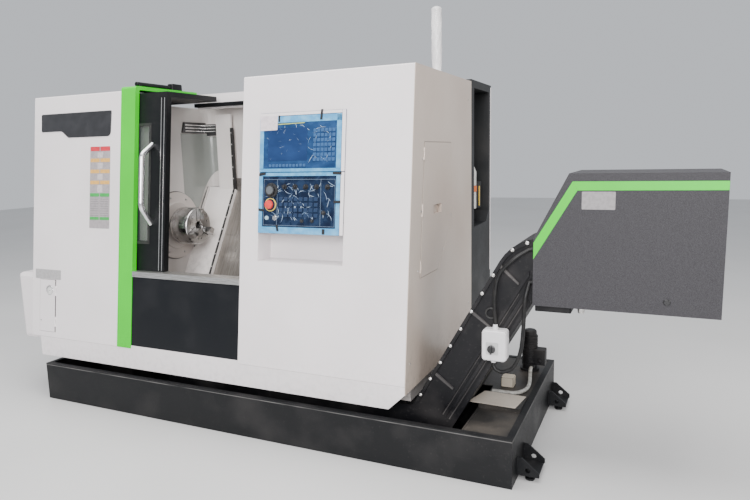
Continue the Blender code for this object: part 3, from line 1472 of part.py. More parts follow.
# Signal lamp on the roof
lamp_right_inset = 0.110
lamp_x = machine_length - lamp_right_inset
lamp_back_inset = 0.245
lamp_y = machine_depth - lamp_back_inset
lamp_radius = 0.027
lamp_height = 0.350
lamp_foot = 0.016
lamp_cone = 0.060
profile = [(0, lamp_foot * 1.4), (sheet * 2, lamp_foot * 1.4), (sheet * 2, lamp_foot),
           (lamp_cone / 2, lamp_foot), (lamp_cone, lamp_radius), (lamp_height - lamp_radius / 3, lamp_radius),
           (lamp_height, lamp_radius * 0.7)]
signal_lamp = turned("signal_lamp", profile, (lamp_x, lamp_y, cover_top + gap), (0, 0, 1), pale_plastic, 24)


# Chip conveyor casing: a low run, a climb and a short level head
def conveyor_edge(offset, floor):
    """The line parallel to the conveyor's upper edge, `offset` below it: (low, bend) corners."""
    drop = offset / math.sin(conveyor_angle)
    slope = math.tan(conveyor_angle)
    top = conveyor_top - offset
    low_x = conveyor_mark_x + drop - (conveyor_mark_z - floor) / slope
    bend_x = conveyor_mark_x + drop + (top - conveyor_mark_z) / slope
    return (low_x, floor), (bend_x, top)


def bend_arc(corner, radius, count):
    """Rounds the corner between the climb and the level head."""
    reach = radius * math.tan(conveyor_angle / 2)
    centre = (corner[0] + reach, corner[1] - radius)
    start = 90 + math.degrees(conveyor_angle)
    return arc(centre, radius, start, 90, count)


def conveyor_outline(shrink):
    """XZ outline of the casing, drawn in by `shrink` on every side."""
    low, corner = conveyor_edge(shrink, conveyor_low_top - shrink)
    under, under_corner = conveyor_edge(conveyor_thickness - shrink, conveyor_floor + shrink)
    points = [(conveyor_tail + shrink, conveyor_floor + shrink), under, under_corner,
              (conveyor_end - shrink, conveyor_top - conveyor_thickness + shrink),
              (conveyor_end - shrink, conveyor_top - shrink)]
    points += list(reversed(bend_arc(corner, conveyor_bend - shrink, 6)))
    points += [low, (conveyor_tail + shrink, conveyor_low_top - shrink)]
    return points


conveyor_back = conveyor_front + conveyor_width
casing = prism("conveyor_casing", conveyor_outline(0), "xz", conveyor_front, conveyor_back, black_paint)
casing_inside = prism("casing_inside", conveyor_outline(sheet), "xz", conveyor_front + sheet,
                      conveyor_back - sheet)
mouth_lip = 0.008
chip_mouth = box("chip_mouth", (conveyor_tail + mouth_lip, conveyor_front + mouth_lip,
                                conveyor_low_top - overrun / 2),
                 (chamber_right - overrun * 5, conveyor_back - mouth_lip, conveyor_low_top + overrun))
drop_inset = 0.030
drop_length = 0.180
drop_right = conveyor_end - drop_inset
drop_left = drop_right - drop_length
chip_drop = box("chip_drop", (drop_left, conveyor_front + mouth_lip,
                              conveyor_top - conveyor_thickness - overrun),
                (drop_right, conveyor_back - mouth_lip, conveyor_top - conveyor_thickness + overrun / 2))
rail_proud = 0.012
rail_band = 0.014
rail_left_floor = tank_height + 0.020
rail_end_out = 0.169
rail_end = conveyor_mark_x + rail_end_out
rail_spare = 0.105
rail_beyond = rail_end + rail_spare
rail_inset = 0.002
rail_two = 0.118
rail_three = 0.152
pieces = []
for offset in (rail_inset, rail_two, rail_three, conveyor_thickness - rail_band - rail_inset):
    low, corner = conveyor_edge(offset, rail_left_floor)
    low_in, corner_in = conveyor_edge(offset + rail_band, rail_left_floor)
    radius = max(conveyor_bend - offset, rail_band * 2)
    outline = [low] + bend_arc(corner, radius, 6) + [(rail_beyond, corner[1]), (rail_beyond, corner_in[1])]
    outline += list(reversed(bend_arc(corner_in, radius - rail_band, 6))) + [low_in]
    flange = prism("side_flange", outline, "xz", conveyor_front - rail_proud, conveyor_front + sheet / 2)
    ender = box("flange_end", (rail_end, 0, 0), (conveyor_end, conveyor_back, cover_top))
    pieces.append(cut(flange, ender))
cut(casing, casing_inside, chip_mouth, chip_drop)
join(casing, *pieces)

# Conveyor belt: a closed band along the middle of the casing
belt_half = 0.055
belt_sheet = 0.010
belt_side = 0.012
belt_inset = 0.100


def belt_outline(shrink):
    """Outline of the band's loop, round at both ends."""
    half = belt_half - shrink
    centre_low = (conveyor_floor + conveyor_low_top) / 2
    centre_offset = conveyor_thickness / 2
    low_bend, top_bend = conveyor_edge(centre_offset, centre_low)
    head_z = conveyor_top - centre_offset
    head = (conveyor_end - belt_inset, head_z)
    tail_place = (conveyor_tail + belt_inset, centre_low)
    up_low, up_top = conveyor_edge(centre_offset - half, centre_low + half)
    down_low, down_top = conveyor_edge(centre_offset + half, centre_low - half)
    points = arc(tail_place, half, 90, 270, 8)
    points += [down_low, down_top]
    points += arc(head, half, -90, 90, 8)
    points += [up_top, up_low]
    return points


conveyor_belt = prism("conveyor_belt", belt_outline(0), "xz", conveyor_front + belt_side,
                      conveyor_back - belt_side, dark_steel)
cut(conveyor_belt, prism("belt_hollow", belt_outline(belt_sheet), "xz", conveyor_front, conveyor_back))

head_x = conveyor_end - belt_inset
head_z = conveyor_top - conveyor_thickness / 2
head_shaft_radius = 0.018
sprocket_radius = belt_half - belt_sheet - gap * 4
sprocket_width = 0.016
head_axis = joint_axis("head_shaft_axis", (head_x, conveyor_front, head_z))
shaft_length = conveyor_width - 2 * sheet - 2 * gap
edge = belt_side + sprocket_width
profile = [(0, head_shaft_radius), (edge, head_shaft_radius), (edge, sprocket_radius),
           (edge + sprocket_width, sprocket_radius), (edge + sprocket_width, head_shaft_radius),
           (shaft_length - edge - sprocket_width, head_shaft_radius),
           (shaft_length - edge - sprocket_width, sprocket_radius),
           (shaft_length - edge, sprocket_radius), (shaft_length - edge, head_shaft_radius),
           (shaft_length, head_shaft_radius)]
head_shaft = turned("conveyor_head_shaft", profile, (head_x, conveyor_front + sheet + gap, head_z), (0, 1, 0),
                    steel, 20)
ride(head_shaft, head_axis)

# Hood over the head, open below, with its slanted left shoulder
hood_gap = 0.0155
hood_left = rail_end + hood_gap
hood_beyond = 0.180
hood_right = conveyor_end + hood_beyond
hood_side = 0.020
hood_front = conveyor_front - hood_side
hood_back_room = 0.060
hood_depth = conveyor_width + hood_back_room
hood_drop = 0.270
hood_low = conveyor_top - hood_drop
hood_rise = 0.257
hood_high = conveyor_top + hood_rise
hood_slant_in = 0.1305
hood_slant_x = hood_left + hood_slant_in
hood_slant_z = conveyor_top
hood_back = hood_front + hood_depth


def hood_outline(shrink, floor):
    """XZ outline of the hood."""
    return [(hood_left + shrink, floor), (hood_right - shrink, floor),
            (hood_right - shrink, hood_high - shrink), (hood_slant_x + shrink / 2, hood_high - shrink),
            (hood_left + shrink, hood_slant_z - shrink / 2)]


hood = prism("conveyor_hood", hood_outline(0, hood_low), "xz", hood_front, hood_back, hood_paint)
hood_inside = prism("hood_inside", hood_outline(sheet, hood_low - overrun), "xz", hood_front + sheet,
                    hood_back - sheet)
hood_mouth = box("hood_mouth", (hood_left - overrun, conveyor_front - gap, hood_low - overrun),
                 (hood_left + overrun, conveyor_back + gap, conveyor_top + gap))
cut(hood, hood_inside, hood_mouth)
for strip_y in (hood_front + sheet / 2, hood_back - sheet / 2 - overrun):
    strip = box("hood_hanger", (hood_left + overrun * 5, strip_y, conveyor_top + gap),
                (hood_right - sheet / 2, strip_y + overrun, conveyor_top + overrun / 2))
    join(hood, strip)

# Isolator box on the conveyor with its rotary knob and gland
switch_before_mark = 0.012
switch_left = conveyor_mark_x - switch_before_mark
switch_width = 0.102
switch_below_mark = 0.329
switch_low = conveyor_mark_z - switch_below_mark
switch_height = 0.130
switch_high = switch_low + switch_height
switch_depth = 0.055
switch_round = 0.010
switch_back = conveyor_front - rail_proud - gap
gland_in = 0.052
gland_x = switch_left + gland_in
gland_radius = 0.013
gland_height = 0.024
switch_box = box("switch_box", (switch_left, switch_back - switch_depth, switch_low),
                 (switch_left + switch_width, switch_back, switch_high), pale_plastic)
settle(soften(switch_box, switch_round, 3))
switch_mid = switch_back - switch_depth / 2
gland = turned("switch_gland", [(0, gland_radius), (gland_height / 2 + sheet, gland_radius),
                                (gland_height + sheet, gland_radius * 0.7)],
               (gland_x, switch_mid, switch_high - sheet), (0, 0, 1), steps=12)
low_gland_in = 0.045
low_gland_x = switch_left + low_gland_in
low_gland = turned("low_gland", [(0, gland_radius), (gland_height / 2 + sheet, gland_radius * 0.8)],
                   (low_gland_x, switch_mid, switch_low + sheet), (0, 0, -1), steps=12)
join(switch_box, gland, low_gland)
knob_in = 0.042
knob_x = switch_left + knob_in
knob_rise = 0.052
knob_z = switch_low + knob_rise
knob_radius = 0.017
knob_height = 0.012
knob_bar = 0.006
knob_front = switch_back - switch_depth - gap
knob_axis = joint_axis("switch_knob_axis", (knob_x, knob_front, knob_z))
switch_knob = turned("switch_knob", [(0, knob_radius), (knob_height / 2, knob_radius * 0.95)],
                     (knob_x, knob_front, knob_z), (0, -1, 0), black_plastic, 20)
grip = box("knob_grip", (knob_x - knob_bar / 2, knob_front - knob_height * 1.4, knob_z - knob_radius * 1.2),
           (knob_x + knob_bar / 2, knob_front - sheet / 2, knob_z + knob_radius))
join(switch_knob, grip)
ride(switch_knob, knob_axis)

# Two cables from the isolator box into the hood, and the pump's hose
cable_radius = 0.005
cable_straight = 0.014
hood_entry = hood_left - gap * 2
entry_inset = 0.010
entry_step = 0.004
upper_entry_drop = 0.043
lower_entry_drop = 0.176
entry_y = conveyor_front - entry_inset
upper_cable_shares = ((-0.023, -0.134, 0.168), (-0.008, -0.201, 0.404), (0.123, 0, 0.656), (0.554, 0.201, 0.869))
lower_cable_shares = ((0.095, -0.155, -0.044), (0.321, -0.233, -0.055), (0.621, -0.155, 0.017),
                      (0.811, 0, 0.207), (0.884, 0, 0.486), (0.920, 0, 0.807))
hose_shares = ((-0.0625, 0.151, 0.515), (-0.221, 0.577, 1), (-0.146, 0.839, 1), (0.146, 0.980, 1), (0.5625, 1, 1))


def cord_route(start, into, shares, end, out_of, count):
    """A cord's route: straight along `into` and `out_of` at its ends, by way of the shares between."""
    first = start + into
    last = end - out_of
    reach = last - first
    middle = [first + Matrix.Diagonal(reach) @ Vector(share) for share in shares]
    return cable_route([start, first] + middle + [last, end], count)


low_gland_end = switch_low - gland_height / 2 - gap
cable_start = Vector((gland_x, switch_mid, switch_high + gland_height + gap))
cable_end = Vector((hood_entry, entry_y, conveyor_top - upper_entry_drop))
straight = Vector((cable_straight, 0, 0))
route = cord_route(cable_start, Vector((0, 0, cable_straight)), upper_cable_shares, cable_end, straight, 30)
tube("conveyor_cable_upper", route, cable_radius, black_rubber, 2)
cable_start = Vector((low_gland_x, switch_mid, low_gland_end))
cable_end = Vector((hood_entry, entry_y - entry_step, conveyor_top - lower_entry_drop))
route = cord_route(cable_start, Vector((0, 0, -cable_straight)), lower_cable_shares, cable_end, straight, 44)
tube("conveyor_cable_lower", route, cable_radius, black_rubber, 2)
hose_end_in = 0.0165
hose_behind_tray = 0.011
hose_rise = 0.0103
hose_straight = 2 * hose_radius
hose_start = Vector((pump_x + pump_radius / 2, pump_y - pump_box_depth - outlet_drop - gap,
                     pump_base + outlet_height))
hose_end = Vector((lid_left + hose_end_in, tray_back + hose_behind_tray, lid_top + hose_rise))
route = cord_route(hose_start, Vector((0, -hose_straight, 0)), hose_shares, hose_end, Vector((0, 0, 0)), 36)
tube("coolant_hose", route[:-1], hose_radius, pale_plastic, 2)
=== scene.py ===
"""Looks of a slant-bed turning lathe with its chip conveyor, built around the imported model."""
import math

import bmesh
import bpy
import numpy as np
from mathutils import Matrix, Vector


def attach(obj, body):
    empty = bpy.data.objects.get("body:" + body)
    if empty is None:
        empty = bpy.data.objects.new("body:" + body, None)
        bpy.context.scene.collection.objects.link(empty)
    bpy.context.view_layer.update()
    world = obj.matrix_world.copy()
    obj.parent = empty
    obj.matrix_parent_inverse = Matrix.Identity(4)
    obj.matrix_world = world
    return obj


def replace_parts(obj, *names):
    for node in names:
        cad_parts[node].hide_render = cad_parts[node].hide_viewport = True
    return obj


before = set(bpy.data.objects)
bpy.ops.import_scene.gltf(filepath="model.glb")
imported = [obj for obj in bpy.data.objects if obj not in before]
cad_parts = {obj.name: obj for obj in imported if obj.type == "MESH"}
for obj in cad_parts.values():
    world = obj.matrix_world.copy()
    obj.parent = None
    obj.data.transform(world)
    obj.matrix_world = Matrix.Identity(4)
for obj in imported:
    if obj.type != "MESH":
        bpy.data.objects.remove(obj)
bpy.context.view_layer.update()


# Coolant tank. A welded sheet steel tray in satin black that carries the whole machine, with a
# painted highlight, broken up by noise, along its rim's edge. The imported solid keeps its shape
# and gets only this paint.
class Shade:
    """A socket of a finish; operators on it add the Math nodes for a value."""

    def __init__(self, finish, socket):
        self.finish = finish
        self.socket = socket

    def math(self, operation, first, second):
        return self.finish.node("ShaderNodeMath", {"operation": operation}, {0: first, 1: second})

    def __add__(self, other):
        return self.math("ADD", self, other)

    __radd__ = __add__

    def __sub__(self, other):
        return self.math("SUBTRACT", self, other)

    def __mul__(self, other):
        return self.math("MULTIPLY", self, other)

    __rmul__ = __mul__

    def span(self, low, high):
        """Runs from 0 to 1 while the value runs from low to high."""
        return self.finish.node("ShaderNodeMapRange", {"clamp": True}, {0: self, 1: low, 2: high})


class Finish:
    """A procedural material on Object coordinates."""

    def __init__(self, name, roughness=0.5, metallic=0.0, coat=0.0, coat_roughness=0.1, alpha=1.0,
                 shine=0.5):
        self.material = bpy.data.materials.new(name)
        self.material.use_nodes = True
        self.tree = self.material.node_tree
        self.shader = self.tree.nodes["Principled BSDF"]
        self.shader.inputs["Roughness"].default_value = roughness
        self.shader.inputs["Metallic"].default_value = metallic
        self.shader.inputs["Coat Weight"].default_value = coat
        self.shader.inputs["Coat Roughness"].default_value = coat_roughness
        self.shader.inputs["Alpha"].default_value = alpha
        self.shader.inputs["Specular IOR Level"].default_value = shine
        self.place = self.node("ShaderNodeTexCoord", {}, {}, "Object")

    def node(self, kind, settings, values, output=0):
        """Adds a node with its settings and the values or links of its sockets."""
        made = self.tree.nodes.new(kind)
        for key, value in settings.items():
            setattr(made, key, value)
        for key, value in values.items():
            if isinstance(value, Shade):
                self.tree.links.new(value.socket, made.inputs[key])
            else:
                made.inputs[key].default_value = value
        return Shade(self, made.outputs[output])

    def stretched(self, scale):
        """Object coordinates stretched by a scale along each axis."""
        return self.node("ShaderNodeMapping", {}, {"Vector": self.place, "Scale": scale})

    def noise(self, scale, detail=3.0, stretch=None):
        place = self.stretched(stretch) if stretch else self.place
        values = {"Vector": place, "Scale": scale, "Detail": detail}
        return self.node("ShaderNodeTexNoise", {}, values)

    def cells(self, scale):
        return self.node("ShaderNodeTexVoronoi", {}, {"Vector": self.place, "Scale": scale})

    def height(self):
        """The Z of a point."""
        return self.node("ShaderNodeSeparateXYZ", {}, {"Vector": self.place}, 2)

    def mix(self, amount, first, second):
        """Colour between first and second."""
        values = {0: amount, 6: rgba(first), 7: rgba(second)}
        return self.node("ShaderNodeMix", {"data_type": "RGBA"}, values, 2)

    def colour(self, value):
        self.put("Base Color", value if isinstance(value, Shade) else rgba(value))

    def put(self, name, value):
        socket = self.shader.inputs[name]
        if isinstance(value, Shade):
            self.tree.links.new(value.socket, socket)
        else:
            socket.default_value = value

    def bump(self, height, strength, distance):
        values = {"Height": height, "Strength": strength, "Distance": distance}
        self.put("Normal", self.node("ShaderNodeBump", {}, values))


def rgba(value):
    return value if isinstance(value, Shade) else (*value, 1.0)


def coated(name, colour, dull, roughness=0.42, peel=0.12, coat=0.0, dirt_top=None):
    """Powder coat: a fine peel, cloudy tone and, below dirt_top, a dusty foot."""
    made = Finish(name, roughness, coat=coat, coat_roughness=0.25)
    cloud = made.noise(2.3, 4.0)
    speck = made.noise(38.0, 3.0)
    tone = made.mix(cloud.span(0.35, 0.75), colour, dull)
    if dirt_top is not None:
        foot = made.height().span(dirt_top, dirt_top - 0.25) * speck.span(0.45, 0.75)
        tone = made.mix(foot * 0.35, tone, tuple(0.45 * c for c in dull))
    made.colour(tone)
    made.put("Roughness", roughness + (cloud - 0.5) * 0.16 + (speck - 0.5) * 0.08)
    made.bump(made.noise(420.0, 2.0), peel, 0.0004)
    return made


def dusty(name, colour, dust, amount, roughness=0.45, peel=0.15, scratch=0.5):
    """Dark paint with settled dust, rubbed spots and fine scratches."""
    made = Finish(name, roughness, shine=0.28)
    cloud = made.noise(5.0, 6.0)
    grit = made.noise(90.0, 4.0)
    scores = made.noise(14.0, 2.0, (1.0, 9.0, 30.0))
    mask = cloud.span(0.48, 0.80) * amount + grit.span(0.60, 0.75) * amount * 0.6
    tone = made.mix(mask, colour, dust)
    tone = made.mix(scores.span(0.70, 0.78) * scratch * 0.35, tone, dust)
    made.tone = tone
    made.colour(tone)
    made.put("Roughness", roughness + cloud.span(0.3, 0.8) * 0.22 + grit.span(0.5, 0.8) * 0.12)
    made.bump(made.noise(260.0, 3.0), peel, 0.0005)
    return made


def dress(finish, *names):
    """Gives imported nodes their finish."""
    for name in names:
        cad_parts[name].data.materials[0] = finish.material


tank_black = dusty("tank_black", (0.004, 0.0045, 0.0055), (0.075, 0.07, 0.068), 0.26, 0.40)
tank_level = tank_black.height()
# Painted highlight: a pale band along the rim's edge, mixed into the black paint.
rim_edge = tank_level.span(0.1945, 0.1960) * tank_level.span(0.1998, 0.1985)
painted_rim_highlight = rim_edge * tank_black.noise(7.0).span(0.25, 0.6)
tank_black.colour(tank_black.mix(painted_rim_highlight * 0.75, tank_black.tone, (0.17, 0.165, 0.16)))
dress(tank_black, "coolant_tank")


# Tank lid, deck and strainer tray. Oily dark sheet over the tank's right end, with a pale loose
# tray in front of the pump and a small beige float switch box.
class Shape:
    """Collects surfaces given as grids of points and makes them one mesh."""

    def __init__(self):
        self.points = []
        self.faces = []
        self.count = 0

    def grid(self, points, wrap=True, caps=True):
        """Rows of points joined to their neighbours; wrapped rows are rings and may be capped."""
        rows, columns = points.shape[:2]
        index = np.arange(rows * columns).reshape(rows, columns) + self.count
        right = np.roll(index, -1, axis=1) if wrap else index[:, 1:]
        left = index if wrap else index[:, :-1]
        quads = np.stack([left[:-1], right[:-1], right[1:], left[1:]], axis=-1).reshape(-1, 4)
        self.faces += quads.tolist()
        self.points.append(points.reshape(-1, 3))
        self.count += rows * columns
        if wrap and caps:
            for row, ring in ((0, index[0]), (-1, index[-1])):
                self.points.append(points[row].mean(axis=0)[None])
                hub = np.full(columns, self.count)
                self.faces += np.stack([ring, np.roll(ring, -1), hub], axis=-1).tolist()
                self.count += 1
        return self

    def make(self, name, finish, body="machine", slot=None):
        mesh = bpy.data.meshes.new(name)
        mesh.from_pydata(np.concatenate(self.points).tolist(), [], self.faces)
        work = bmesh.new()
        work.from_mesh(mesh)
        bmesh.ops.recalc_face_normals(work, faces=work.faces)
        work.to_mesh(mesh)
        work.free()
        mesh.polygons.foreach_set("use_smooth", np.ones(len(mesh.polygons), dtype=bool))
        mesh.set_sharp_from_angle(angle=sharp_angle)
        mesh.materials.append(finish.material)
        made = bpy.data.objects.new(name, mesh)
        bpy.context.scene.collection.objects.link(made)
        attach(made, body)
        return made


def rounded(x_low, x_high, z_low, z_high, radius, steps=4):
    """Rectangle with round corners: quarter circles about the four corner centres."""
    turn = np.radians(np.linspace(0, 90, steps))
    ring = []
    corners = ((x_high - radius, z_high - radius), (x_low + radius, z_high - radius),
               (x_low + radius, z_low + radius), (x_high - radius, z_low + radius))
    for number, (x, z) in enumerate(corners):
        angle = turn + number * math.pi / 2
        ring.append(np.stack([x + radius * np.cos(angle), z + radius * np.sin(angle)], axis=-1))
    return np.concatenate(ring)


def eased(corners, radius):
    """Polygon whose corners are quadratic curves of the given reach, three points each."""
    corners = np.array(corners, dtype=float)
    before = np.roll(corners, 1, axis=0) - corners
    after = np.roll(corners, -1, axis=0) - corners
    before *= (radius / np.linalg.norm(before, axis=1))[:, None]
    after *= (radius / np.linalg.norm(after, axis=1))[:, None]
    t = np.linspace(0, 1, 3)[None, :, None]
    curve = corners[:, None] + before[:, None] * (1 - t) ** 2 + after[:, None] * t ** 2
    return curve.reshape(-1, 2)


def plate(shape, outline, place, low, high, edge=0.0004):
    """A flat piece: its outline goes up from low to high, is drawn in by edge and closed."""
    centre = outline.mean(axis=0)
    inward = centre - outline
    inward /= np.linalg.norm(inward, axis=1)[:, None]
    rings = [(outline, low), (outline, high - edge), (outline + inward * edge, high)]
    rows = [place(ring[:, 0], ring[:, 1], np.full(len(ring), level)) for ring, level in rings]
    shape.grid(np.stack(rows))
    return shape


sharp_angle = math.radians(32)
machine_left = -1.400
machine_front = -0.500
lean = 0.130
seam = 0.344


def on_deck(x, y, height):
    """x to the right and y to the back on a level face, height above the floor."""
    return np.stack([machine_left + x, machine_front + y, height], axis=-1)


deck_grime = dusty("deck_grime", (0.020, 0.019, 0.018), (0.14, 0.12, 0.10), 0.50, 0.35, 0.25, 1.0)
dress(deck_grime, "tank_lid", "tank_deck")
tray_sheet = dusty("tray_sheet", (0.60, 0.54, 0.46), (0.24, 0.20, 0.16), 0.40, 0.4, 0.2, 0.8)
tray_low = 0.2132
tray_thick = 0.0022
tray_corner_ease = 0.004
tray_corners = [(2.512, 0.262), (2.722, 0.256), (2.742, 0.404), (2.548, 0.410)]
tray = plate(Shape(), eased(tray_corners, tray_corner_ease), on_deck, tray_low, tray_low + tray_thick)
tray.make("strainer_tray", tray_sheet, slot="tank_deck")
float_beige = dusty("float_beige", (0.50, 0.45, 0.36), (0.18, 0.15, 0.12), 0.3, 0.5, 0.2, 0.6)
float_left = 2.596
float_front = 0.524
float_width = 0.060
float_low = 0.203
float_high = 0.2485
float_outline = rounded(float_left, float_left + float_width, float_front, float_front + float_width, 0.006)
float_box = plate(Shape(), float_outline, on_deck, float_low, float_high, 0.004)
float_box.make("float_switch", float_beige, slot="tank_deck")


# Coolant pump. A small black flanged motor with cooling ribs and a terminal box, and a pale hose
# that lies on the deck and runs to a fitting under the conveyor.
def frame_of(axis):
    """Two unit vectors square to an axis."""
    axis = np.array(axis, dtype=float)
    axis /= np.linalg.norm(axis)
    side = np.cross(axis, (0.0, 0.0, 1.0) if abs(axis[2]) < 0.9 else (1.0, 0.0, 0.0))
    side /= np.linalg.norm(side)
    return axis, side, np.cross(axis, side)


def lathe(shape, profile, start, axis, around=48, lobes=0, depth=0.0, caps=True):
    """Turned surface: start + axis * along + radius * (cos, sin); lobes press a scallop into it."""
    axis, side, up = frame_of(axis)
    profile = np.array(profile, dtype=float)
    angle = np.linspace(0, 2 * math.pi, around, endpoint=False)
    radius = profile[:, 1:2] * (1 - depth * (0.5 - 0.5 * np.cos(lobes * angle))[None])
    points = (np.array(start, dtype=float) + profile[:, None, 0:1] * axis
              + radius[..., None] * (np.cos(angle)[:, None] * side + np.sin(angle)[:, None] * up))
    return shape.grid(points, caps=caps)


def at(x, y, z):
    """A place measured from the covers' left end, the front seam and the floor."""
    return (machine_left + x, machine_front + y, z)


pump_black = dusty("pump_black", (0.005, 0.005, 0.006), (0.08, 0.072, 0.065), 0.30, 0.4)
pump_x = 2.678
pump_y = 0.820
pump_foot = 0.2025
rib_radius = 0.0395
groove_radius = 0.0365
rib_count = 11
rib_first = 0.040
rib_pitch = 0.0125
rib_edge = 0.001
groove_width = 0.006
pump_ribs = [(0.0, 0.048), (0.010, 0.048), (0.0101, 0.036), (0.030, 0.036), (0.0301, rib_radius)]
for rib in range(rib_count):
    rib_low = rib_first + rib * rib_pitch
    pump_ribs += [(rib_low, rib_radius), (rib_low + rib_edge, groove_radius),
                  (rib_low + groove_width, groove_radius), (rib_low + groove_width + rib_edge, rib_radius)]
pump_ribs += [(0.182, rib_radius), (0.1825, 0.034), (0.205, 0.033), (0.212, 0.026)]
pump = lathe(Shape(), pump_ribs, at(pump_x, pump_y, pump_foot), (0, 0, 1), 40)
plate(pump, rounded(2.690, 2.759, 0.790, 0.850, 0.004), on_deck, 0.2375, 0.3175, 0.003)
outlet_x = 2.6975
outlet_profile = [(0, 0.0126), (0.040, 0.0126), (0.041, 0.0145), (0.0655, 0.0145)]
lathe(pump, outlet_profile, at(outlet_x, pump_y, 0.2323), (0, -1, 0), 20)
gland_profile = [(0, 0.008), (0.014, 0.008), (0.015, 0.006)]
lathe(pump, gland_profile, at(2.735, 0.790, 0.262), (0, -1, 0), 12)
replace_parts(pump.make("coolant_pump_body", pump_black, slot="coolant_pump"), "coolant_pump")


def smooth_way(marks, count):
    """Catmull-Rom curve through the marks: on each span 0.5 (2b + (c-a)t + (2a-5b+4c-d)t2 + ...)."""
    marks = np.array(marks, dtype=float)
    ends = np.concatenate([[marks[0] * 2 - marks[1]], marks, [marks[-1] * 2 - marks[-2]]])
    where = np.linspace(0, len(marks) - 1 - 1e-9, count)
    index = where.astype(int)
    t = (where - index)[:, None]
    a, b, c, d = (ends[index + k] for k in range(4))
    return 0.5 * (2 * b + (c - a) * t + (2 * a - 5 * b + 4 * c - d) * t ** 2
                  + (3 * b - a - 3 * c + d) * t ** 3)


def pipe(shape, way, radius, around=16, flat=1.0):
    """Round section carried along a way, its frame turned as little as possible at each step."""
    way = np.array(way, dtype=float)
    ahead = np.gradient(way, axis=0)
    ahead /= np.linalg.norm(ahead, axis=1)[:, None]
    side = [frame_of(ahead[0])[1]]
    for tangent in ahead[1:]:
        turned = side[-1] - tangent * np.dot(side[-1], tangent)
        side.append(turned / np.linalg.norm(turned))
    side = np.array(side)
    up = np.cross(ahead, side)
    angle = np.linspace(0, 2 * math.pi, around, endpoint=False)
    sideways = np.cos(angle)[None, :, None] * side[:, None] * flat
    ring = sideways + np.sin(angle)[None, :, None] * up[:, None]
    radius = np.broadcast_to(np.asarray(radius, dtype=float), (len(way),))
    return shape.grid(way[:, None] + ring * radius[:, None, None])


def mottled(name, light, dark, spots, grain, roughness, depth=0.12, rise=0.0003, detail=3.0, **shader):
    """A colour that drifts to another in soft spots, over a fine grain."""
    made = Finish(name, roughness, **shader)
    made.colour(made.mix(made.noise(spots, detail).span(0.4, 0.7), light, dark))
    made.bump(made.noise(grain), depth, rise)
    return made


hose_radius = 0.009
hose_outlet_z = 0.2325
hose_lie = 0.2123
hose_marks = [(outlet_x, 0.736, hose_outlet_z), (2.705, 0.690, 0.222), (2.724, 0.560, hose_lie),
              (2.715, 0.480, hose_lie), (2.680, 0.437, hose_lie), (2.630, 0.431, hose_lie)]
hose_way = smooth_way([at(*mark) for mark in hose_marks], 90)
hose_way = np.concatenate([[at(outlet_x, 0.7545, hose_outlet_z)], hose_way, [at(2.5776, 0.431, hose_lie)]])
hose_pale = mottled("hose_pale", (0.40, 0.40, 0.37), (0.20, 0.19, 0.17), 60.0, 300.0, 0.35, 0.15, 0.0004,
                    coat=0.3)
hose = pipe(Shape(), hose_way, hose_radius, 18)
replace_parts(hose.make("pump_hose", hose_pale, slot="coolant_hose"), "coolant_hose")


# White covers. Folded sheet steel in a warm white powder coat with a fine peel, a little grey at
# the foot, on both front covers, both ends, the skirt, the rear and the two small doors; the right
# end and its door carry a darker beige copy of it as painted shade.
cover_white = coated("cover_white", (0.84, 0.795, 0.80), (0.76, 0.715, 0.715), 0.40, 0.10, 0.15, 0.42)
dress(cover_white, "left_front_cover", "left_end_cover", "service_hatch", "front_skirt", "rear_cover",
      "right_front_cover")
# Same white paint, made darker and beige as painted shade on the right side face.
side_white_painted_shade = coated("side_white_painted_shade", (0.57, 0.49, 0.42), (0.49, 0.40, 0.335), 0.34, 0.10, 0.22, 0.55)
dress(side_white_painted_shade, "right_side_cover", "side_access_door")


# Plates on the left cover. A glossy dark plate left bare, a strip of plain colour fields and a
# bare grey plate, all thin sheets glued to the leaning front.
def on_front(x, z, out):
    """x to the right and z up on the leaning front face, out in front of it."""
    y = machine_front + lean * np.maximum(0, z - seam) - out
    return np.stack([machine_left + x, y, z], axis=-1)


badge_black = mottled("badge_black", (0.012, 0.012, 0.014), (0.022, 0.022, 0.025), 20.0, 120.0, 0.22, 0.05,
                      coat=0.5)
badge_thick = 0.003
badge_corner_ease = 0.009
badge_corners = [(0.058, 1.588), (0.595, 1.588), (0.590, 1.469), (0.577, 1.453), (0.272, 1.453),
                 (0.220, 1.490), (0.059, 1.490)]
badge = plate(Shape(), eased(badge_corners, badge_corner_ease), on_front, 0, badge_thick, 0.001)
badge.make("bare_badge", badge_black, slot="left_front_cover")


def printed(name, colour, roughness=0.45):
    """Printed foil: faint mottling of one ink."""
    made = Finish(name, roughness, coat=0.15)
    made.colour(made.mix(made.noise(75.0).span(0.42, 0.62), colour, tuple(0.86 * c for c in colour)))
    made.bump(made.noise(200.0), 0.06, 0.0002)
    return made


foil_grey = printed("foil_grey", (0.36, 0.33, 0.34))
strip_high = 1.400
strip_tall = 0.436
foil_thick = 0.0008
ink_top = 0.0011
ink_edge = 0.0001
strip_outline = rounded(0.441, 0.588, strip_high - strip_tall, strip_high, 0.004)
strip = plate(Shape(), strip_outline, on_front, 0, foil_thick, 0.0002)
strip.make("colour_strip", foil_grey, slot="left_front_cover")
fields = {"foil_red": ((0.60, 0.03, 0.05), [(0.0, 0.055)]),
          "foil_amber": ((0.75, 0.42, 0.10), [(0.145, 0.190), (0.280, 0.325), (0.415, 0.460)]),
          "foil_green": ((0.03, 0.38, 0.07), [(0.570, 0.610), (0.860, 0.895)]),
          "foil_pale": ((0.55, 0.50, 0.50),
                        [(0.070, 0.135), (0.200, 0.270), (0.335, 0.405), (0.470, 0.560)])}
one_column = ((0.496, 0.534, 0.003),)
two_columns = ((0.443, 0.511, 0.002), (0.517, 0.586, 0.002))
